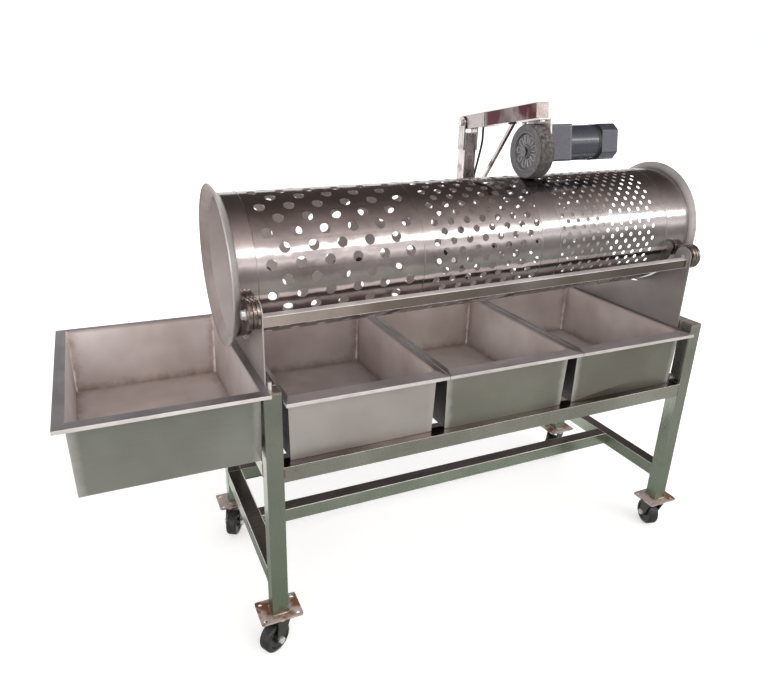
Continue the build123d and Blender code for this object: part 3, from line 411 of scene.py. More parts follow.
# Paler steel for eased edges: a painted highlight along them, and wear
edge_steel = bare_steel("edge_steel", (0.62, 0.57, 0.55), (0.90, 0.85, 0.83), rough=0.40,
                        grain=along_x, cloud=9.0, bump=0.012, metal=0.5)
cap_steel = bare_steel("cap_steel", (0.33, 0.26, 0.22), (0.58, 0.50, 0.45), rough=0.34,
                       grain=(90, 90, 90), cloud=14.0)
dress("legs", leg_steel, edge=0.0022, steps=3)
dress("top_cross_rails", cross_steel, edge=0.0022, steps=3)
dress("leg_caps", cap_steel)
for node, material, edge_slot in (("bin_rails", rail_steel, -1), ("low_rails", cross_steel, 2),
                             ("low_stretcher", rail_steel, 2)):
    dress_faces(node, [material, shade_steel, edge_steel], top_face, edge=0.0028, steps=3, edge_slot=edge_slot)

# Weld beads at the frame's joints: small rippled runs of the same steel, browned and blued by the
# heat, round the end of each tube.
bead_steel = bare_steel("weld_bead", (0.30, 0.22, 0.18), (0.66, 0.58, 0.52), rough=0.36,
                        grain=(300, 300, 300), cloud=40.0, bump=0.1)


# Finished mesh as a piece that rides with a body
def piece_from(mesh, name, body, material, smooth_angle=35.0):
    bmesh.ops.recalc_face_normals(mesh, faces=mesh.faces)
    for face in mesh.faces:
        face.smooth = True
    for edge in mesh.edges:
        if len(edge.link_faces) == 2 and edge.calc_face_angle() > radians(smooth_angle):
            edge.smooth = False
    data = bpy.data.meshes.new(name)
    mesh.to_mesh(data)
    mesh.free()
    data.materials.append(material)
    piece = bpy.data.objects.new(name, data)
    scene.collection.objects.link(piece)
    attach(piece, body)


# Two directions square to an axis
def square_to(axis):
    helper = Vector((0, 0, 1)) if abs(axis.z) < 0.9 else Vector((1, 0, 0))
    first = axis.cross(helper).normalized()
    return first, axis.cross(first)


# Ring of points about an axis
def ring_about(mesh, middle, axis, radius, count):
    first, second = square_to(axis)
    turns = [2 * pi * step / count for step in range(count)]
    return [mesh.verts.new(middle + (first * cos(turn) + second * sin(turn)) * radius) for turn in turns]


# Faces between rings of points, closed at both ends unless the rings form a loop
def join_rings(mesh, rings, loop=False):
    count = len(rings[0])
    pairs = list(zip(rings, rings[1:]))
    if loop:
        pairs.append((rings[-1], rings[0]))
    for ring, after in pairs:
        for side in range(count):
            beside = (side + 1) % count
            mesh.faces.new((ring[side], ring[beside], after[beside], after[side]))
    if not loop:
        mesh.faces.new(rings[0][::-1])
        mesh.faces.new(rings[-1])


# Rippled bead along straight runs, thin at its ends, as one mesh that rides with a body
def weld_beads(name, runs, radius, body):
    ripple = random.Random(name)
    ripple_long = radius * 1.1
    sides = 6
    mesh = bmesh.new()
    for start, end in runs:
        start = Vector(start)
        run = Vector(end) - start
        count = max(3, round(run.length / ripple_long))
        rings = []
        for step in range(count + 1):
            swell = radius * (0.86 + 0.16 * (step % 2) + ripple.uniform(-0.06, 0.06))
            if step in (0, count):
                swell *= 0.4
            rings.append(ring_about(mesh, start + run * (step / count), run.normalized(), swell, sides))
        join_rings(mesh, rings)
    piece_from(mesh, name, body, bead_steel, smooth_angle=180.0)


# Four runs round the end of a square tube: its middle, its half width and the way it points
def square_runs(middle, half, axis):
    first, second = (Vector(way) * half for way in ((1, 0, 0), (0, 1, 0), (0, 0, 1)) if way != axis)
    corners = [Vector(middle) + first * a + second * b for a, b in ((-1, -1), (1, -1), (1, 1), (-1, 1))]
    return [(corners[side], corners[(side + 1) % 4]) for side in range(4)]


tube = 0.040
bead_sunk = 0.0004
half_tube = tube / 2 - bead_sunk
far_x = leg_high[0]
far_y = leg_high[1]
left_x = corner_x + tube / 2
right_x = far_x - tube / 2
front_y = corner_y + tube / 2
rear_y = far_y - tube / 2
middle_y = (front_y + rear_y) / 2
bin_level, low_level, top_level = (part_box(node)[1][2] - tube / 2
                                   for node in ("bin_rails", "low_rails", "top_cross_rails"))
frame_runs = []
for x_end in (corner_x + tube, far_x - tube):
    for y_line, level in ((front_y, bin_level), (rear_y, bin_level),
                          (rear_y, low_level), (middle_y, low_level)):
        frame_runs += square_runs((x_end, y_line, level), half_tube, (1, 0, 0))
for y_end in (corner_y + tube, far_y - tube):
    for x_line in (left_x, right_x):
        for level in (bin_level, low_level, top_level):
            frame_runs += square_runs((x_line, y_end, level), half_tube, (0, 1, 0))
weld_beads("frame_welds", frame_runs, radius=0.0019, body="frame")

# Swivel casters: top plates of stainless steel, browned and rusted by the welding, with a full
# weld round the leg's foot; black pressed forks on bright axle bolts, black wheels, grey treads.
plate_steel = bare_steel("plate_steel", (0.40, 0.32, 0.30), (0.60, 0.51, 0.49), rough=0.40,
                         grain=(60, 60, 60), cloud=22.0, bump=0.06, metal=0.35)
add_patches(plate_steel, (0.24, 0.10, 0.05), scale=30.0, low=0.49, high=0.60)
dress("caster_plates", plate_steel, edge=0.0008)
plate_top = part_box("caster_plates")[1][2]
foot_out = 0.001
foot_runs = []
for x_line in (left_x, right_x):
    for y_line in (front_y, rear_y):
        foot_runs += square_runs((x_line, y_line, plate_top), half_tube + foot_out, (0, 0, 1))
weld_beads("leg_foot_welds", foot_runs, radius=0.0034, body="frame")

# Dust and scuffs on rubber and paint: a speckled mask, heavier on faces that look up
dust, dust_in, dust_out = new_group(
    "dust", {"Scale": "NodeSocketFloat", "Amount": "NodeSocketFloat"}, ("Mask",))
dust_fine = uneven_value(dust, object_place(dust), dust_in["Scale"], detail=8.0, rough=0.72)
dust_specks = spread_value(dust, dust_fine, 0.40, 0.72)
dust_normal = add_node(dust, "NewGeometry", {}).outputs["Normal"]
dust_up = spread_value(dust, split_vector(dust, dust_normal)["Z"], -0.4, 1.0, 0.35, 1.0)
dust_lying = work_out(dust, "MULTIPLY", dust_specks, dust_up)
feed(dust, dust_out, {"Mask": work_out(dust, "MULTIPLY", dust_lying, dust_in["Amount"])})


# Painted, moulded or rubber surface with dust on it: scale and amount are the dust's
def dusty(name, colour, dust_colour, rough, scale, amount, bump=0.05, pebble=400.0, coat=0.0):
    material, tree, shader = new_finish(name)
    mask = add_node(tree, "Group", {"Scale": scale, "Amount": amount}, node_tree=dust).outputs["Mask"]
    feed(tree, shader, {
        "Base Color": tone_between(tree, mask, 0.0, 1.0, colour, dust_colour),
        "Roughness": spread_value(tree, mask, 0.0, 1.0, rough, min(1.0, rough + 0.3)),
        "Normal": relief(tree, uneven_value(tree, object_place(tree), pebble, detail=2.0), bump),
        "Coat Weight": coat,
        "Coat Roughness": 0.14,
        "Coat IOR": 1.8})
    return material


# How a point stands off a line, square to it
def off_line(point, middle, way):
    out = point - middle
    return out - way * out.dot(way)


fork_paint = dusty("fork_paint", (0.007, 0.008, 0.008), (0.045, 0.044, 0.042), rough=0.26,
                   scale=70.0, amount=0.35, coat=0.5)
wheel_black = dusty("wheel_black", (0.006, 0.007, 0.007), (0.032, 0.032, 0.031), rough=0.26,
                    scale=55.0, amount=0.35, coat=0.45)
tread_grey = dusty("tread_grey", (0.011, 0.012, 0.012), (0.125, 0.123, 0.12), rough=0.42,
                   scale=60.0, amount=0.45)
nut_steel = bare_steel("nut_steel", (0.62, 0.61, 0.59), (0.86, 0.85, 0.83), rough=0.36,
                       grain=(200, 200, 200), cloud=60.0, metal=0.6)
fork_half = 0.023
skin = 0.0003
tread_from = 0.031
for corner in ("fl", "fr", "rl", "rr"):
    axle = joints[f"caster_roll_{corner}"]
    axle_way = Vector(axle["axis"]).normalized()
    axle_middle = Vector(axle["pos_m"])

    def fork_face(centre, normal):
        return 1 if abs((centre - axle_middle).dot(axle_way)) > fork_half + skin else 0

    def wheel_face(centre, normal):
        outside = off_line(centre, axle_middle, axle_way).length > tread_from
        return 1 if outside and abs(normal.dot(axle_way)) < 0.8 else 0

    dress_faces(f"caster_fork_{corner}", [fork_paint, nut_steel], fork_face, edge=0.0010)
    dress_faces(f"caster_wheel_{corner}", [wheel_black, tread_grey], wheel_face, edge=0.0010)

# Bins: boxes of brushed stainless sheet with seams ground bright and the rim turned down. They
# stand on the rails and slide out; outside they are green-grey, inside warm. Their tones also hold
# painted light, shade and reflection, set out below.
bin_lines, lines_in, lines_out = new_group(
    "bin_lines", {"Low": "NodeSocketVector", "High": "NodeSocketVector"}, ("Corner", "Floor", "Depth"))
line_place = object_place(bin_lines)
line_at = split_vector(bin_lines, line_place)
line_low = split_vector(bin_lines, lines_in["Low"])
line_high = split_vector(bin_lines, lines_in["High"])
bin_draft = 0.004
bin_deep = 0.167
wall_lean = bin_draft / bin_deep


def line_step(operation, *terms):
    return work_out(bin_lines, operation, *terms)


below_rim = line_step("SUBTRACT", line_high["Z"], line_at["Z"])
draw_in = line_step("MULTIPLY", below_rim, wall_lean)


# Distance from the nearer of two opposite walls, along X or along Y
def wall_gap(way):
    low_wall = line_step("ADD", line_low[way], draw_in)
    high_wall = line_step("SUBTRACT", line_high[way], draw_in)
    from_low = line_step("ABSOLUTE", line_step("SUBTRACT", line_at[way], low_wall))
    from_high = line_step("ABSOLUTE", line_step("SUBTRACT", high_wall, line_at[way]))
    return line_step("MINIMUM", from_low, from_high)


near_x = wall_gap("X")
near_y = wall_gap("Y")
near_floor = line_step("ABSOLUTE", line_step("SUBTRACT", line_at["Z"], line_low["Z"]))
ragged = uneven_value(bin_lines, line_place, scale=45.0, detail=4.0)
ragged_edge = spread_value(bin_lines, ragged, 0.3, 0.7, -0.003, 0.003)
bin_high = line_step("SUBTRACT", line_high["Z"], line_low["Z"])
feed(bin_lines, lines_out, {
    "Corner": line_step("ADD", line_step("MAXIMUM", near_x, near_y), ragged_edge),
    "Floor": line_step("MAXIMUM", line_step("MINIMUM", near_x, near_y), near_floor),
    "Depth": line_step("DIVIDE", below_rim, bin_high)})

brushed_round = (6, 6, 340)
bin_cloud = 4.2
grain_tone = (0.985, 0.985, 0.985)
corner_stain = 0.055
floor_stain = 0.050


# Sheet of one bin: its tone at the rim and at the floor, which holds painted light and shade, the
# bright band along its seams and the stain left beside them by the welding, and a painted shade
# just under the rim
def bin_sheet(name, low, high, top_tone, low_tone, metal, rough, band_wide, band_tone, line_tone, stain,
              rim_shade, cloud_tone):
    material, tree, shader = new_finish(name)
    scales = {"Grain Scale": brushed_round, "Cloud Scale": bin_cloud}
    surface = add_node(tree, "Group", scales, node_tree=steel_surface).outputs
    lines = add_node(tree, "Group", {"Low": low, "High": high}, node_tree=bin_lines).outputs
    # Tone from rim to floor: inside, raised high up against the drum's shadow (painted light) and falling
    # towards the floor (painted shade); outside, set per bin as a painted reflection
    tone = tone_between(tree, lines["Depth"], 0.0, 1.0, top_tone, low_tone)
    tone = tone_between(tree, surface["Cloud"], 0.62, 0.36, tone, cloud_tone, "MULTIPLY")
    tone = tone_between(tree, surface["Grain"], 0.30, 0.70, tone, grain_tone, "MULTIPLY")
    by_corner = spread_value(tree, lines["Corner"], corner_stain, 0.0)
    by_floor = spread_value(tree, lines["Floor"], floor_stain, 0.0)
    by_seam = work_out(tree, "MAXIMUM", by_corner, by_floor)
    stained = work_out(tree, "MULTIPLY", by_seam, surface["Smudge"])
    tone = tone_between(tree, stained, 0.26, 0.60, tone, stain, "MULTIPLY")
    # Painted shade just below the rim, where the turned-down rim would shade the wall
    tone = tone_between(tree, lines["Depth"], 0.050, 0.0, tone, rim_shade, "MULTIPLY")
    tone = tone_between(tree, lines["Corner"], 0.001, band_wide, band_tone, tone)
    tone = tone_between(tree, lines["Floor"], 0.0006, 0.0030, line_tone, tone)
    feed(tree, shader, {
        "Base Color": tone,
        "Metallic": metal,
        "Roughness": spread_value(tree, surface["Grain"], 0.25, 0.75, rough * 0.8, rough * 1.2),
        "Normal": relief(tree, surface["Grain"], 0.02)})
    return material


rim_steel = bare_steel("rim_steel", (0.20, 0.18, 0.19), (0.33, 0.30, 0.31), rough=0.36,
                       grain=along_y, cloud=6.0, bump=0.012, metal=0.8)
divider_steel = bare_steel("divider_steel", (0.13, 0.107, 0.103), (0.26, 0.222, 0.215), rough=0.36,
                           grain=along_y, cloud=9.0, bump=0.012, metal=0.8)
# The inner bins' front rims are a lighter copy of the rim steel: a painted reflection
front_rim_steel = bare_steel("front_rim_steel", (0.34, 0.305, 0.305), (0.54, 0.49, 0.485), rough=0.36,
                             grain=along_x, cloud=5.0, bump=0.012, metal=0.7)
# Paler steel for the bins' turned-down lips and the drum rails' tops and eased edges: a painted highlight
lip_steel = bare_steel("lip_steel", (0.60, 0.555, 0.545), (0.82, 0.775, 0.765), rough=0.40,
                       grain=along_x, cloud=7.0, metal=0.55)
# Near-black steel for the inner bins' outer sides: painted shade for the dark gaps between the bins
bin_side_painted_shade = bare_steel("bin_side_painted_shade", (0.060, 0.056, 0.053), (0.120, 0.113, 0.108), rough=0.50,
                            grain=along_y, cloud=6.0, metal=0.7)

# How far the rim stands out at the left, right, front and back; then each bin's rim, its tones
# inside at the rim and at the floor, and its tones outside at the rim and at the floor. The inside
# tones are raised high up and fall towards the floor, painted light and painted shade under the
# drum; the outside tones differ from bin to bin as a painted reflection.
inner_rim = (0.014, 0.014, 0.039, 0.015)
end_rim = (0.022, 0.0165, 0.027, 0.015)
bin_looks = {
    "bin_oversize": (end_rim, (0.77, 0.71, 0.705), (0.50, 0.435, 0.42),
                     (0.37, 0.39, 0.35), (0.44, 0.445, 0.415)),
    "bin_large": (inner_rim, (0.90, 0.80, 0.785), (0.38, 0.33, 0.32),
                  (0.78, 0.71, 0.70), (0.64, 0.60, 0.58)),
    "bin_medium": (inner_rim, (0.90, 0.82, 0.80), (0.48, 0.425, 0.41),
                   (0.43, 0.415, 0.37), (0.345, 0.36, 0.31)),
    "bin_small": (inner_rim, (0.84, 0.75, 0.73), (0.45, 0.40, 0.39),
                  (0.32, 0.325, 0.275), (0.345, 0.335, 0.30)),
}
slack = 0.0005
for node, (rim, inside_top, inside_low, outside_top, outside_low) in bin_looks.items():
    low, high = (Vector(point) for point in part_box(node))
    body_low = Vector((low.x + rim[0], low.y + rim[2], low.z))
    body_high = Vector((high.x - rim[1], high.y - rim[3], high.z))
    bin_middle = (body_low + body_high) / 2
    end_bin = node == "bin_oversize"

    # A face's place in the list of materials below: an inner bin's sides and front rim have their own,
    # the sides a near-black painted shade and the front rim a lighter painted reflection
    def bin_face(centre, normal):
        within = body_low.x - slack < centre.x < body_high.x + slack
        within = within and body_low.y - slack < centre.y < body_high.y + slack
        if within and normal.dot(bin_middle - centre) > 0:
            return 0
        if within:
            return 4 if abs(normal.x) > 0.7 and not end_bin else 1
        if abs(normal.z) < 0.5:
            return 3
        return 5 if centre.y < body_low.y and not end_bin else 2

    inside = bin_sheet(f"{node}_inside", body_low, body_high, inside_top, inside_low,
                       metal=0.05, rough=0.42, band_wide=0.008, band_tone=(0.88, 0.81, 0.79),
                       line_tone=(0.26, 0.20, 0.18), stain=(0.62, 0.52, 0.46),
                       rim_shade=(0.55, 0.49, 0.47), cloud_tone=(0.74, 0.695, 0.67))
    outside = bin_sheet(f"{node}_outside", body_low, body_high, outside_top, outside_low,
                        metal=0.9, rough=0.36, band_wide=0.020, band_tone=(0.70, 0.67, 0.66),
                        line_tone=(0.48, 0.46, 0.44), stain=(1.0, 1.0, 1.0),
                        rim_shade=(0.72, 0.70, 0.69), cloud_tone=(0.84, 0.82, 0.81))
    flat_rim = rim_steel if end_bin else divider_steel
    dress_faces(node, [inside, outside, flat_rim, lip_steel, bin_side_painted_shade, front_rim_steel], bin_face,
                edge=0.0007)

# Supports for the end bin: two tubes welded across the left side rail, of the frame's steel, and
# two bright stop pins on the left leg caps, against the bin's rim.
dress("bin_support_arms", rail_steel, edge=0.0012)
dress("bin_stop_pins", nut_steel)

# Cradle: end panels of bright sheet, welded to the top cross rails, and two square tubes, the drum
# rails, that run along the drum from panel to panel, with a painted highlight towards their left end
# and painted shade towards the right.
panel_steel = bare_steel("panel_steel", (0.39, 0.365, 0.358), (0.56, 0.525, 0.515), rough=0.36,
                         grain=along_y, cloud=3.0, bump=0.012, metal=0.55)
drum_rail_steel = bare_steel("drum_rail_steel", (0.25, 0.222, 0.20), (0.60, 0.55, 0.52), rough=0.24,
                             grain=along_x, cloud=1.7, bump=0.012)
# Painted highlight towards the rails' left end and painted shade towards their right end
shade_towards(drum_rail_steel, (1, 0, 0), corner_x + 0.60, corner_x + 0.15, (1.55, 1.48, 1.46))
shade_towards(drum_rail_steel, (1, 0, 0), corner_x + 0.65, corner_x + 1.05, (0.80, 0.78, 0.77))
for node in ("end_panel_left", "end_panel_right"):
    dress(node, panel_steel, edge=0.0005)
dress_faces("drum_rails", [drum_rail_steel, lip_steel], top_face, edge=0.0014, steps=3, edge_slot=1)
cradle_runs = []
panel_low, panel_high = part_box("end_panel_left")
run_short = 0.004
foot_level = leg_top + 0.003
foot_front = panel_low[1] + run_short
foot_rear = panel_high[1] - run_short
for face_x in (panel_low[0], panel_high[0]):
    cradle_runs.append(((face_x, foot_front, foot_level), (face_x, foot_rear, foot_level)))
panel_low, panel_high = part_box("end_panel_right")
side_x = panel_high[0]
lap_low = leg_top - 0.034
lap_high = leg_top + 0.001
for side_y in (panel_low[1], panel_high[1]):
    cradle_runs.append(((side_x, side_y, lap_low), (side_x, side_y, lap_high)))
weld_beads("cradle_welds", cradle_runs, radius=0.0017, body="frame")

# Rollers: turned steel with grooves, browned by wear, that carry the drum at both ends. They turn
# on studs with washers and nuts.
turned_steel = bare_steel("turned_steel", (0.25, 0.20, 0.18), (0.60, 0.54, 0.50), rough=0.24,
                          grain=(700, 12, 12), cloud=22.0, bump=0.08)
add_patches(turned_steel, (0.12, 0.09, 0.075), scale=40.0, low=0.50, high=0.72)
for node in ("roller_front_left", "roller_rear_left", "roller_front_right", "roller_rear_right"):
    dress(node, turned_steel, edge=0.0008)
dress("roller_bolts", nut_steel, edge=0.0006)

# Drum: polished stainless sheet, rolled and seam welded, punched in three sizes, with flared lips.
# It rests on the rollers; inside it is dull and pale.
drum_middle = Vector(joints["drum_spin"]["pos_m"])
drum_way = Vector(joints["drum_spin"]["axis"]).normalized()
drum_dark = (0.43, 0.388, 0.380)
drum_light = (0.585, 0.535, 0.525)
rolled = (5, 120, 120)
drum_sheet_steel = bare_steel("drum_sheet_steel", drum_dark, drum_light, rough=0.15,
                              grain=rolled, cloud=7.0, bump=0.02, dents=0.004)
drum_band_steel = bare_steel("drum_band_steel", drum_dark, drum_light, rough=0.16,
                             grain=(40, 90, 90), cloud=6.0, bump=0.02, dents=0.002)
drum_inside = bare_steel("drum_inside", (0.48, 0.425, 0.412), (0.63, 0.57, 0.553), rough=0.45,
                         grain=rolled, cloud=3.4, metal=0.15)
# Painted shade: the outside darkens towards the right end for its dimmer reflection there; the tones above
# are set a little lighter for the brighter left end
for material in (drum_sheet_steel, drum_band_steel):
    shade_towards(material, (1, 0, 0), corner_x + 0.30, corner_x + 0.85, (0.84, 0.88, 0.89))


# Outer faces of the drum take the first material and inner faces the second
def drum_face(centre, normal):
    return 1 if off_line(centre, drum_middle, drum_way).normalized().dot(normal) < -0.3 else 0


for node in ("drum_sheet_large", "drum_sheet_medium", "drum_sheet_small"):
    dress_faces(node, [drum_sheet_steel, drum_inside], drum_face)
for node in ("drum_band_left", "drum_band_drive", "drum_band_right"):
    dress_faces(node, [drum_band_steel, drum_inside], drum_face)

# Flares: lips of the same sheet, welded to both ends of the drum, with painted shade where they
# leave it and a painted highlight at the rim.
drum_r = 0.1685
flare_r = 0.2045
flare_steel = bare_steel("flare_steel", (0.43, 0.405, 0.40), (0.58, 0.555, 0.55), rough=0.42,
                         grain=(160, 160, 160), cloud=9.0, bump=0.05, metal=0.5)
flare_inside = bare_steel("flare_inside", (0.28, 0.226, 0.214), (0.40, 0.332, 0.318), rough=0.45,
                          grain=(60, 60, 60), cloud=8.0, metal=0.15)
flare_tree = flare_steel.node_tree
flare_from = vector_step(flare_tree, "SUBTRACT", object_place(flare_tree), drum_middle)["Vector"]
flare_turn = vector_step(flare_tree, "CROSS_PRODUCT", flare_from, drum_way)["Vector"]
from_axis = vector_step(flare_tree, "LENGTH", flare_turn)["Value"]
# Painted shade at the flare's root and a painted highlight at its rolled rim
shade_by(flare_steel, from_axis, drum_r + 0.009, drum_r + 0.001, (0.62, 0.59, 0.58))
shade_by(flare_steel, from_axis, flare_r - 0.007, flare_r - 0.002, (1.5, 1.5, 1.5))
for node in ("drum_flare_left", "drum_flare_right"):
    dress_faces(node, [flare_steel, flare_inside], drum_face)

# Girth welds: the beads where the drum's sheets, bands and flares meet, ground nearly flush with
# the outside.


# How far a CAD piece reaches along a line, from a point on it
def reach_along(node, origin, way):
    places = [(vertex.co - origin).dot(way) for vertex in nodes[node].data.vertices]
    return min(places), max(places)


girth_bead = 0.0008
girth_wide = 1.6
girth_steps = 420
girth_sides = 6
girth_ripple = random.Random("girth")
girth_mesh = bmesh.new()
out_way, over_way = square_to(drum_way)
for node in ("drum_flare_left", "drum_band_left", "drum_sheet_large", "drum_sheet_medium",
             "drum_band_drive", "drum_sheet_small"):
    seam_at = drum_middle + drum_way * reach_along(node, drum_middle, drum_way)[1]
    rings = []
    for step in range(girth_steps):
        turn = 2 * pi * step / girth_steps
        outward = out_way * cos(turn) + over_way * sin(turn)
        swell = girth_bead * (0.82 + 0.12 * (step % 2) + girth_ripple.uniform(-0.05, 0.05))
        bends = [2 * pi * side / girth_sides for side in range(girth_sides)]
        rings.append([girth_mesh.verts.new(seam_at + outward * (drum_r + swell * sin(bend))
                                           + drum_way * (girth_wide * swell * cos(bend))) for bend in bends])
    join_rings(girth_mesh, rings, loop=True)
girth_steel = bare_steel("girth_steel", (0.36, 0.32, 0.30), (0.56, 0.52, 0.49), rough=0.30,
                         grain=(200, 200, 200), cloud=30.0, bump=0.08)
piece_from(girth_mesh, "drum_girth_welds", "drum", girth_steel, smooth_angle=180.0)

# Drive post, stay and hinge: the frame's tube and flat bar, stained in patches, welded behind the
# rear rail. The hinge turns on a bright bolt, and a rubber pad on the stay stops the arm.
post_steel = bare_steel("post_steel", (0.42, 0.37, 0.35), (0.70, 0.65, 0.625), rough=0.26,
                        grain=along_z, cloud=5.0, bump=0.012)
add_patches(post_steel, (0.20, 0.135, 0.11), scale=16.0, low=0.54, high=0.68)
stop_rubber = dusty("stop_rubber", (0.03, 0.03, 0.03), (0.14, 0.13, 0.12), rough=0.7,
                    scale=60.0, amount=0.6)
dress("gantry_post", post_steel, edge=0.002)
dress("post_brackets", post_steel, edge=0.0008)
dress("stay", post_steel, edge=0.0008)
dress("hinge_bolt", nut_steel, edge=0.0006)
dress("stop_pad", stop_rubber)
post_low, post_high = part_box("gantry_post")
rail_top = bin_level + tube / 2
short_of = 0.002
post_runs = []
for side_x in (post_low[0], post_high[0]):
    post_runs.append(((side_x, far_y, post_low[2] + short_of), (side_x, far_y, rail_top - short_of)))
post_runs.append(((post_low[0], far_y, rail_top), (post_high[0], far_y, rail_top)))
weld_beads("post_welds", post_runs, radius=0.0021, body="frame")

# Arm: a square tube hinged on the post, its sides browned and its end pale, with the gear motor's
# steel angle bolted under it. Places on it are counted along the hinge, back along the arm and up.
hinge = Vector(joints["arm_hinge"]["pos_m"])
hinge_way = -Vector(joints["arm_hinge"]["axis"]).normalized()
wheel_reach = 0.318
wheel_drop = 0.100
to_shaft = off_line(Vector(joints["drive_spin"]["pos_m"]), hinge, hinge_way)
arm_back = (hinge_way.cross(to_shaft) * wheel_drop - to_shaft * wheel_reach).normalized()
arm_up = hinge_way.cross(arm_back)


def arm_point(distance, back, above):
    return hinge + hinge_way * distance + arm_back * back + arm_up * above


# Faces square to the hinge take the first material and the rest the second
def side_face(centre, normal):
    return 0 if abs(normal.dot(hinge_way)) > 0.7 else 1


beam_brown = bare_steel("beam_brown", (0.075, 0.054, 0.05), (0.25, 0.21, 0.205), rough=0.25,
                        grain=along_y, cloud=8.0, bump=0.012)
add_patches(beam_brown, (0.075, 0.022, 0.027), scale=12.0, low=0.47, high=0.57)
hinge_back = hinge.dot(arm_back)
shade_towards(beam_brown, arm_back, hinge_back - 0.135, hinge_back - 0.100, (0.40, 0.36, 0.355), "MIX")
beam_pale = bare_steel("beam_pale", (0.34, 0.285, 0.265), (0.58, 0.53, 0.51), rough=0.30,
                       grain=along_y, cloud=14.0, metal=0.85)
bracket_steel = bare_steel("bracket_steel", (0.62, 0.58, 0.56), (0.84, 0.81, 0.79), rough=0.32,
                           grain=along_z, cloud=9.0, metal=0.5)
dress_faces("arm_beam", [beam_brown, beam_pale], side_face, edge=0.0018, steps=3)
dress("motor_bracket", bracket_steel, edge=0.0008)
dress("bracket_bolts", nut_steel, edge=0.0005)

# Gear motor: slate grey gloss paint over cast housings, a paler flange, a black seal before the
# end cap, and steel screws; it hangs on the angle's upright leaf.
motor_paint = dusty("motor_paint", (0.028, 0.032, 0.048), (0.07, 0.075, 0.094), rough=0.26,
                    scale=26.0, amount=0.25, bump=0.01, pebble=900.0, coat=0.55)
flange_paint = dusty("flange_paint", (0.065, 0.07, 0.088), (0.14, 0.145, 0.16), rough=0.28,
                     scale=26.0, amount=0.3, bump=0.02, pebble=900.0, coat=0.3)
motor_up = -0.082
motor_r = 0.0465
flange_thick = 0.006
motor_start, motor_end = reach_along("motor_shell", hinge, hinge_way)
cap_end = reach_along("motor_end_cap", hinge, hinge_way)[1]
motor_middle = arm_point(motor_start, -wheel_reach, motor_up)


def motor_face(centre, normal):
    return 1 if off_line(centre, motor_middle, hinge_way).length > motor_r + skin else 0


dress("gearbox", motor_paint)
dress("motor_end_cap", motor_paint, edge=0.0014)
dress_faces("motor_shell", [motor_paint, flange_paint], motor_face)


# Turned piece about an axis: profile gives places along the axis and radii
def turned(mesh, middle, axis, profile, around=28, loop=False):
    rings = [ring_about(mesh, middle + axis * offset, axis, radius, around) for offset, radius in profile]
    join_rings(mesh, rings, loop)


screw_head = ((0.0, 0.0042), (0.0030, 0.0042), (0.0036, 0.0036), (0.0036, 0.0022), (0.0018, 0.0020))
flange_spread = 0.0385
cap_spread = 0.031
screw_mesh = bmesh.new()
for side in (-1, 1):
    for rise in (-1, 1):
        for distance, spread in ((motor_start + flange_thick, flange_spread), (cap_end, cap_spread)):
            screw = arm_point(distance, -wheel_reach + side * spread, motor_up + rise * spread)
            turned(screw_mesh, screw, hinge_way, screw_head)
piece_from(screw_mesh, "motor_screws", "arm", nut_steel)
seal_wide = 0.0100
seal_round = 0.0008
seal_profile = ((-seal_wide, motor_r - 0.001), (-seal_wide, motor_r + 0.0004),
                (seal_round - seal_wide, motor_r + 0.0010), (-seal_round, motor_r + 0.0010),
                (0.0, motor_r + 0.0004), (0.0, motor_r - 0.001))
seal_mesh = bmesh.new()
turned(seal_mesh, arm_point(motor_end, -wheel_reach, motor_up), hinge_way, seal_profile, around=72, loop=True)
seal_rubber = dusty("seal_rubber", (0.018, 0.018, 0.020), (0.08, 0.08, 0.08), rough=0.5,
                    scale=60.0, amount=0.4)
piece_from(seal_mesh, "motor_seal", "arm", seal_rubber)

# Gear train: output gear, stepped idler and the motor's rotor, of oiled machined steel. They turn
# with the wheel, out of sight in the gearbox and the motor.
gear_steel = bare_steel("gear_steel", (0.22, 0.22, 0.21), (0.36, 0.36, 0.35), rough=0.35,
                        grain=(300, 300, 300), cloud=40.0)
for node in ("output_gear", "idler_gear", "motor_rotor"):
    dress(node, gear_steel)

# Drive wheel: a dusty solid rubber tyre on a grey cast hub, its face ribbed in petals, held by a
# dark nut on the shaft. It turns the drum by friction.
tyre_side = dusty("tyre_side", (0.130, 0.119, 0.126), (0.29, 0.27, 0.278), rough=0.70,
                  scale=40.0, amount=1.1, bump=0.2, pebble=260.0)
tyre_tread = dusty("tyre_tread", (0.022, 0.019, 0.018), (0.27, 0.245, 0.24), rough=0.75,
                   scale=130.0, amount=0.95, bump=0.5, pebble=200.0)
hub_paint = dusty("hub_paint", (0.12, 0.115, 0.122), (0.30, 0.29, 0.297), rough=0.45,
                  scale=60.0, amount=0.7)
# Lighter grey for the raised petals: a painted highlight where the ribs catch the light
petal_painted_highlight = dusty("petal_painted_highlight", (0.36, 0.35, 0.36), (0.52, 0.51, 0.51), rough=0.42,
                    scale=60.0, amount=0.5)
dark_steel = bare_steel("dark_steel", (0.12, 0.12, 0.125), (0.24, 0.235, 0.23), rough=0.36,
                        grain=(200, 200, 200), cloud=60.0)


def tyre_face(centre, normal):
    return 0 if abs(normal.dot(hinge_way)) > 0.8 else 1


dress_faces("drive_tyre", [tyre_side, tyre_tread], tyre_face, edge=0.0015)
dress("drive_hub", hub_paint, edge=0.0008)
dress("drive_shaft", dark_steel, edge=0.0008)


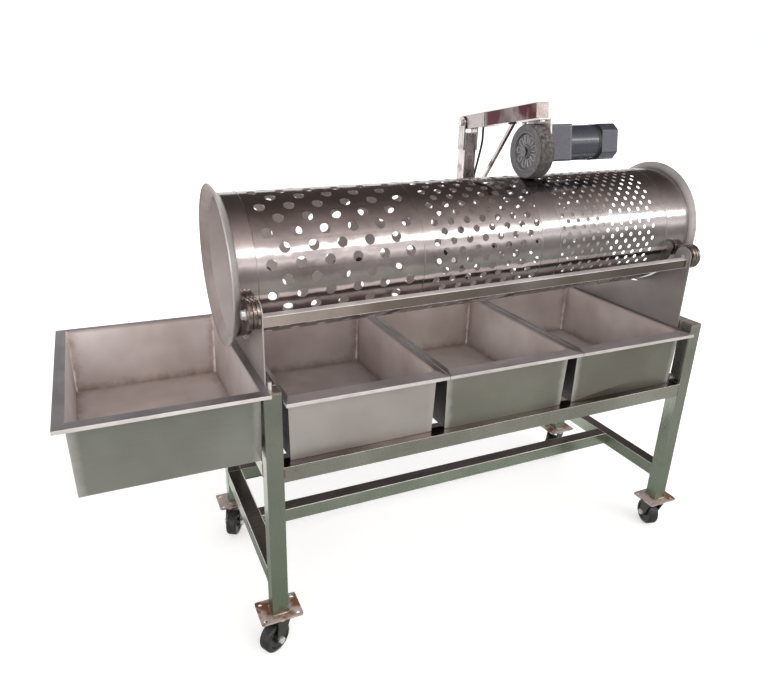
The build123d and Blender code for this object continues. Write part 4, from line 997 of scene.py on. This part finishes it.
# Raised strip of even width along points in a plane, narrower at its top
def ribbon(mesh, origin, first, second, points, half_wide, high):
    out = first.cross(second).normalized()
    rise = out * high
    spots = [origin + first * x + second * y for x, y in points]
    rings = []
    for place, spot in enumerate(spots):
        run = (spots[min(place + 1, len(spots) - 1)] - spots[max(place - 1, 0)]).normalized()
        side = out.cross(run) * half_wide
        outline = (spot - side, spot + side, spot + side * 0.7 + rise, spot - side * 0.7 + rise)
        rings.append([mesh.verts.new(point) for point in outline])
    join_rings(mesh, rings)


hub_sunk = 0.0065
hub_face = reach_along("drive_hub", hinge, hinge_way)[0] + hub_sunk
hub_middle = arm_point(hub_face, -wheel_reach, -wheel_drop)
plate_in = 0.0172
plate_out = 0.0466
plate_thick = 0.0022
plate_profile = ((0.0, plate_in), (0.0, plate_out), (plate_thick, plate_out), (plate_thick, plate_in))
plate_mesh = bmesh.new()
turned(plate_mesh, hub_middle, hinge_way, plate_profile, around=64, loop=True)
piece_from(plate_mesh, "hub_face_plate", "drive_wheel", hub_paint)
petals = 9
half_petal = ((0.0200, -0.16), (0.0270, -0.21), (0.0360, -0.21), (0.0405, -0.15), (0.0420, 0.0))
petal_line = half_petal + tuple((radius, -bend) for radius, bend in half_petal[-2::-1])
petal_mesh = bmesh.new()
for petal in range(petals):
    turn = 2 * pi * petal / petals
    outline = [(radius * cos(turn + bend), radius * sin(turn + bend)) for radius, bend in petal_line]
    ribbon(petal_mesh, hub_middle, arm_up, arm_back, outline, half_wide=0.0012, high=0.0026)
piece_from(petal_mesh, "hub_petals", "drive_wheel", petal_painted_highlight, smooth_angle=50.0)

# Control box on the post's right side: powder coated housing and lid with pan-head screws, and a
# plastic knob with a pointer that turns over a printed scale.
box_paint = dusty("box_paint", (0.46, 0.47, 0.465), (0.33, 0.32, 0.30), rough=0.42,
                  scale=22.0, amount=0.35, bump=0.08, pebble=1400.0)
black_plastic = dusty("black_plastic", (0.028, 0.028, 0.030), (0.13, 0.125, 0.12), rough=0.42,
                      scale=80.0, amount=0.4)
scale_print = dusty("scale_print", (0.02, 0.02, 0.02), (0.09, 0.09, 0.09), rough=0.5,
                    scale=80.0, amount=0.3)
pointer_paint = dusty("pointer_paint", (0.74, 0.74, 0.72), (0.45, 0.44, 0.42), rough=0.45,
                      scale=80.0, amount=0.4)
dress("control_box", box_paint, edge=0.002)
dress("control_lid", box_paint, edge=0.0012)
dress("speed_knob", black_plastic, edge=0.001)
dress("box_gland", black_plastic, edge=0.0008)
lid_low, lid_high = (Vector(point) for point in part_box("control_lid"))
lid_out = Vector((0, 1, 0))
lid_up = Vector((0, 0, 1))
lid_right = Vector((1, 0, 0))
screw_in = 0.009
lid_screws = bmesh.new()
for screw_x in (lid_low.x + screw_in, lid_high.x - screw_in):
    for screw_z in (lid_low.z + screw_in, lid_high.z - screw_in):
        turned(lid_screws, Vector((screw_x, lid_high.y, screw_z)), lid_out, screw_head)
piece_from(lid_screws, "lid_screws", "frame", nut_steel)
knob_low, knob_high = (Vector(point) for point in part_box("speed_knob"))
knob_middle = Vector(((knob_low.x + knob_high.x) / 2, lid_high.y, (knob_low.z + knob_high.z) / 2))
knob_face = Vector((knob_middle.x, knob_high.y, knob_middle.z))
scale_start = -135
scale_sweep = 270
marks = 10


# Straight mark that points out from the knob's middle at an angle from upright
def knob_mark(mesh, middle, angle, start, end, half_wide, high):
    turn = radians(angle)
    points = [(radius * cos(turn), radius * sin(turn)) for radius in (start, end)]
    ribbon(mesh, middle, lid_up, lid_right, points, half_wide, high)


scale_mesh = bmesh.new()
for mark in range(marks):
    angle = scale_start + scale_sweep * mark / (marks - 1)
    knob_mark(scale_mesh, knob_middle, angle, start=0.0185, end=0.0225, half_wide=0.0006, high=0.0003)
piece_from(scale_mesh, "knob_scale", "frame", scale_print)
pointer_mesh = bmesh.new()
knob_mark(pointer_mesh, knob_face, scale_start, start=0.004, end=0.0125, half_wide=0.0010, high=0.0005)
piece_from(pointer_mesh, "knob_pointer", "knob", pointer_paint)

# Motor lead: a black rubber sheath out of the gearbox, back along the beam's right side, down in
# front of the hinge and down the post's right side into the box's gland, held by nylon ties.
lead_r = 0.0035
lead_gap = 0.0015
half_beam = 0.019
lead_beside = half_beam + lead_r + lead_gap
lead_out = reach_along("gearbox", hinge, hinge_way)[0] + 0.012
lead_top = -0.025
post_front = hinge.y - tube / 2
post_side = hinge.x + tube / 2 + lead_r + lead_gap
lead_split = arm_point(lead_beside, -0.040, -0.038)
lead_down = arm_point(lead_beside, -0.037, -0.060) - lead_split
lead_on_post = Vector((post_side, post_front + 0.020, lead_split.z - 0.180))
gland_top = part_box("box_gland")[1][2]
gland_x = hinge.x + 0.046
gland_y = post_front + 0.0355
lead_route = [
    arm_point(lead_out, -wheel_reach, lead_top),
    arm_point(lead_out, -wheel_reach, lead_top + 0.020),
    arm_point(lead_out - 0.005, -wheel_reach + 0.030, 0.006),
    arm_point(lead_beside + 0.001, -wheel_reach + 0.075, 0.003),
    arm_point(lead_beside, -wheel_reach + 0.135, 0),
    arm_point(lead_beside, -wheel_reach + 0.190, 0.002),
    arm_point(lead_beside, -0.064, 0),
    lead_split - lead_down,
    lead_split,
    lead_split + lead_down,
    Vector((post_side + 0.002, post_front - 0.006, lead_split.z - 0.074)),
    Vector((post_side + 0.002, post_front + 0.010, lead_split.z - 0.120)),
    lead_on_post,
    Vector((post_side, post_front + 0.021, lead_split.z - 0.250)),
    Vector((post_side, post_front + 0.020, lead_split.z - 0.310)),
    Vector((post_side + 0.001, post_front + 0.020, lead_split.z - 0.370)),
    Vector((post_side + 0.002, post_front + 0.022, gland_top + 0.070)),
    Vector((gland_x - 0.005, gland_y - 0.005, gland_top + 0.040)),
    Vector((gland_x, gland_y, gland_top + 0.020)),
    Vector((gland_x, gland_y, gland_top)),
]
lead_curve = bpy.data.curves.new("motor_lead", "CURVE")
lead_curve.dimensions = "3D"
lead_curve.bevel_depth = lead_r
lead_curve.bevel_resolution = 3
lead_curve.resolution_u = 8
lead_curve.use_fill_caps = True
lead_line = lead_curve.splines.new("NURBS")
lead_line.points.add(len(lead_route) - 1)
for point, place in zip(lead_line.points, lead_route):
    point.co = (*place, 1)
lead_line.order_u = 3
lead_line.use_endpoint_u = True
lead_former = bpy.data.objects.new("lead_former", lead_curve)
scene.collection.objects.link(lead_former)
formed = lead_former.evaluated_get(bpy.context.evaluated_depsgraph_get())
lead_mesh = bpy.data.meshes.new_from_object(formed)
bpy.data.objects.remove(lead_former)
lead_mesh.name = "motor_lead"
lead_mesh.materials.clear()
lead_sheath = dusty("lead_sheath", (0.016, 0.016, 0.017), (0.10, 0.10, 0.10), rough=0.48,
                    scale=90.0, amount=0.4)
lead_mesh.materials.append(lead_sheath)
for face in lead_mesh.polygons:
    face.use_smooth = True
motor_lead = bpy.data.objects.new("motor_lead", lead_mesh)
scene.collection.objects.link(motor_lead)
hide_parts("motor_lead_arm", "motor_lead_post")
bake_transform(motor_lead)

# Nylon ties: flat white bands with a locking head, pulled tight round the lead and the tube that
# carries it.
nylon = dusty("nylon", (0.72, 0.71, 0.69), (0.45, 0.43, 0.40), rough=0.40, scale=70.0, amount=0.5)
tie_head = ((0.0, 0.0030), (0.0012, 0.0034), (0.0036, 0.0032), (0.0042, 0.0026))


def tie_band(name, body, middle, across, over, half_across, half_over):
    mesh = bmesh.new()
    axis = across.cross(over).normalized()
    round_r = 0.0025
    thick = 0.0011
    half_band = 0.0019
    section = ((0, -half_band), (thick, -half_band), (thick, half_band), (0, half_band))
    rings = []
    for corner, (side, rise) in enumerate(((1, 1), (-1, 1), (-1, -1), (1, -1))):
        centre = middle + across * side * (half_across - round_r) + over * rise * (half_over - round_r)
        for step in range(5):
            turn = radians(90 * corner + 22.5 * step)
            out = across * cos(turn) + over * sin(turn)
            rings.append([mesh.verts.new(centre + out * (round_r + depth) + axis * shift)
                          for depth, shift in section])
    join_rings(mesh, rings, loop=True)
    head_foot = middle + over * half_over + across * half_across * 0.4
    turned(mesh, head_foot, over, tie_head, around=8)
    piece_from(mesh, name, body, nylon, smooth_angle=40.0)


tie_across = 0.0238
tie_shift = 0.0044
tie_band("beam_tie", "arm", arm_point(tie_shift, -0.112, 0.0), hinge_way, arm_up,
         half_across=tie_across, half_over=0.0196)
for place, drop in (("upper", 0.215), ("lower", 0.345)):
    tie_middle = Vector((hinge.x + tie_shift, hinge.y, lead_split.z - drop))
    tie_band(f"post_tie_{place}", "frame", tie_middle, Vector((1, 0, 0)), Vector((0, 1, 0)),
             half_across=tie_across + 0.0006, half_over=0.0206)
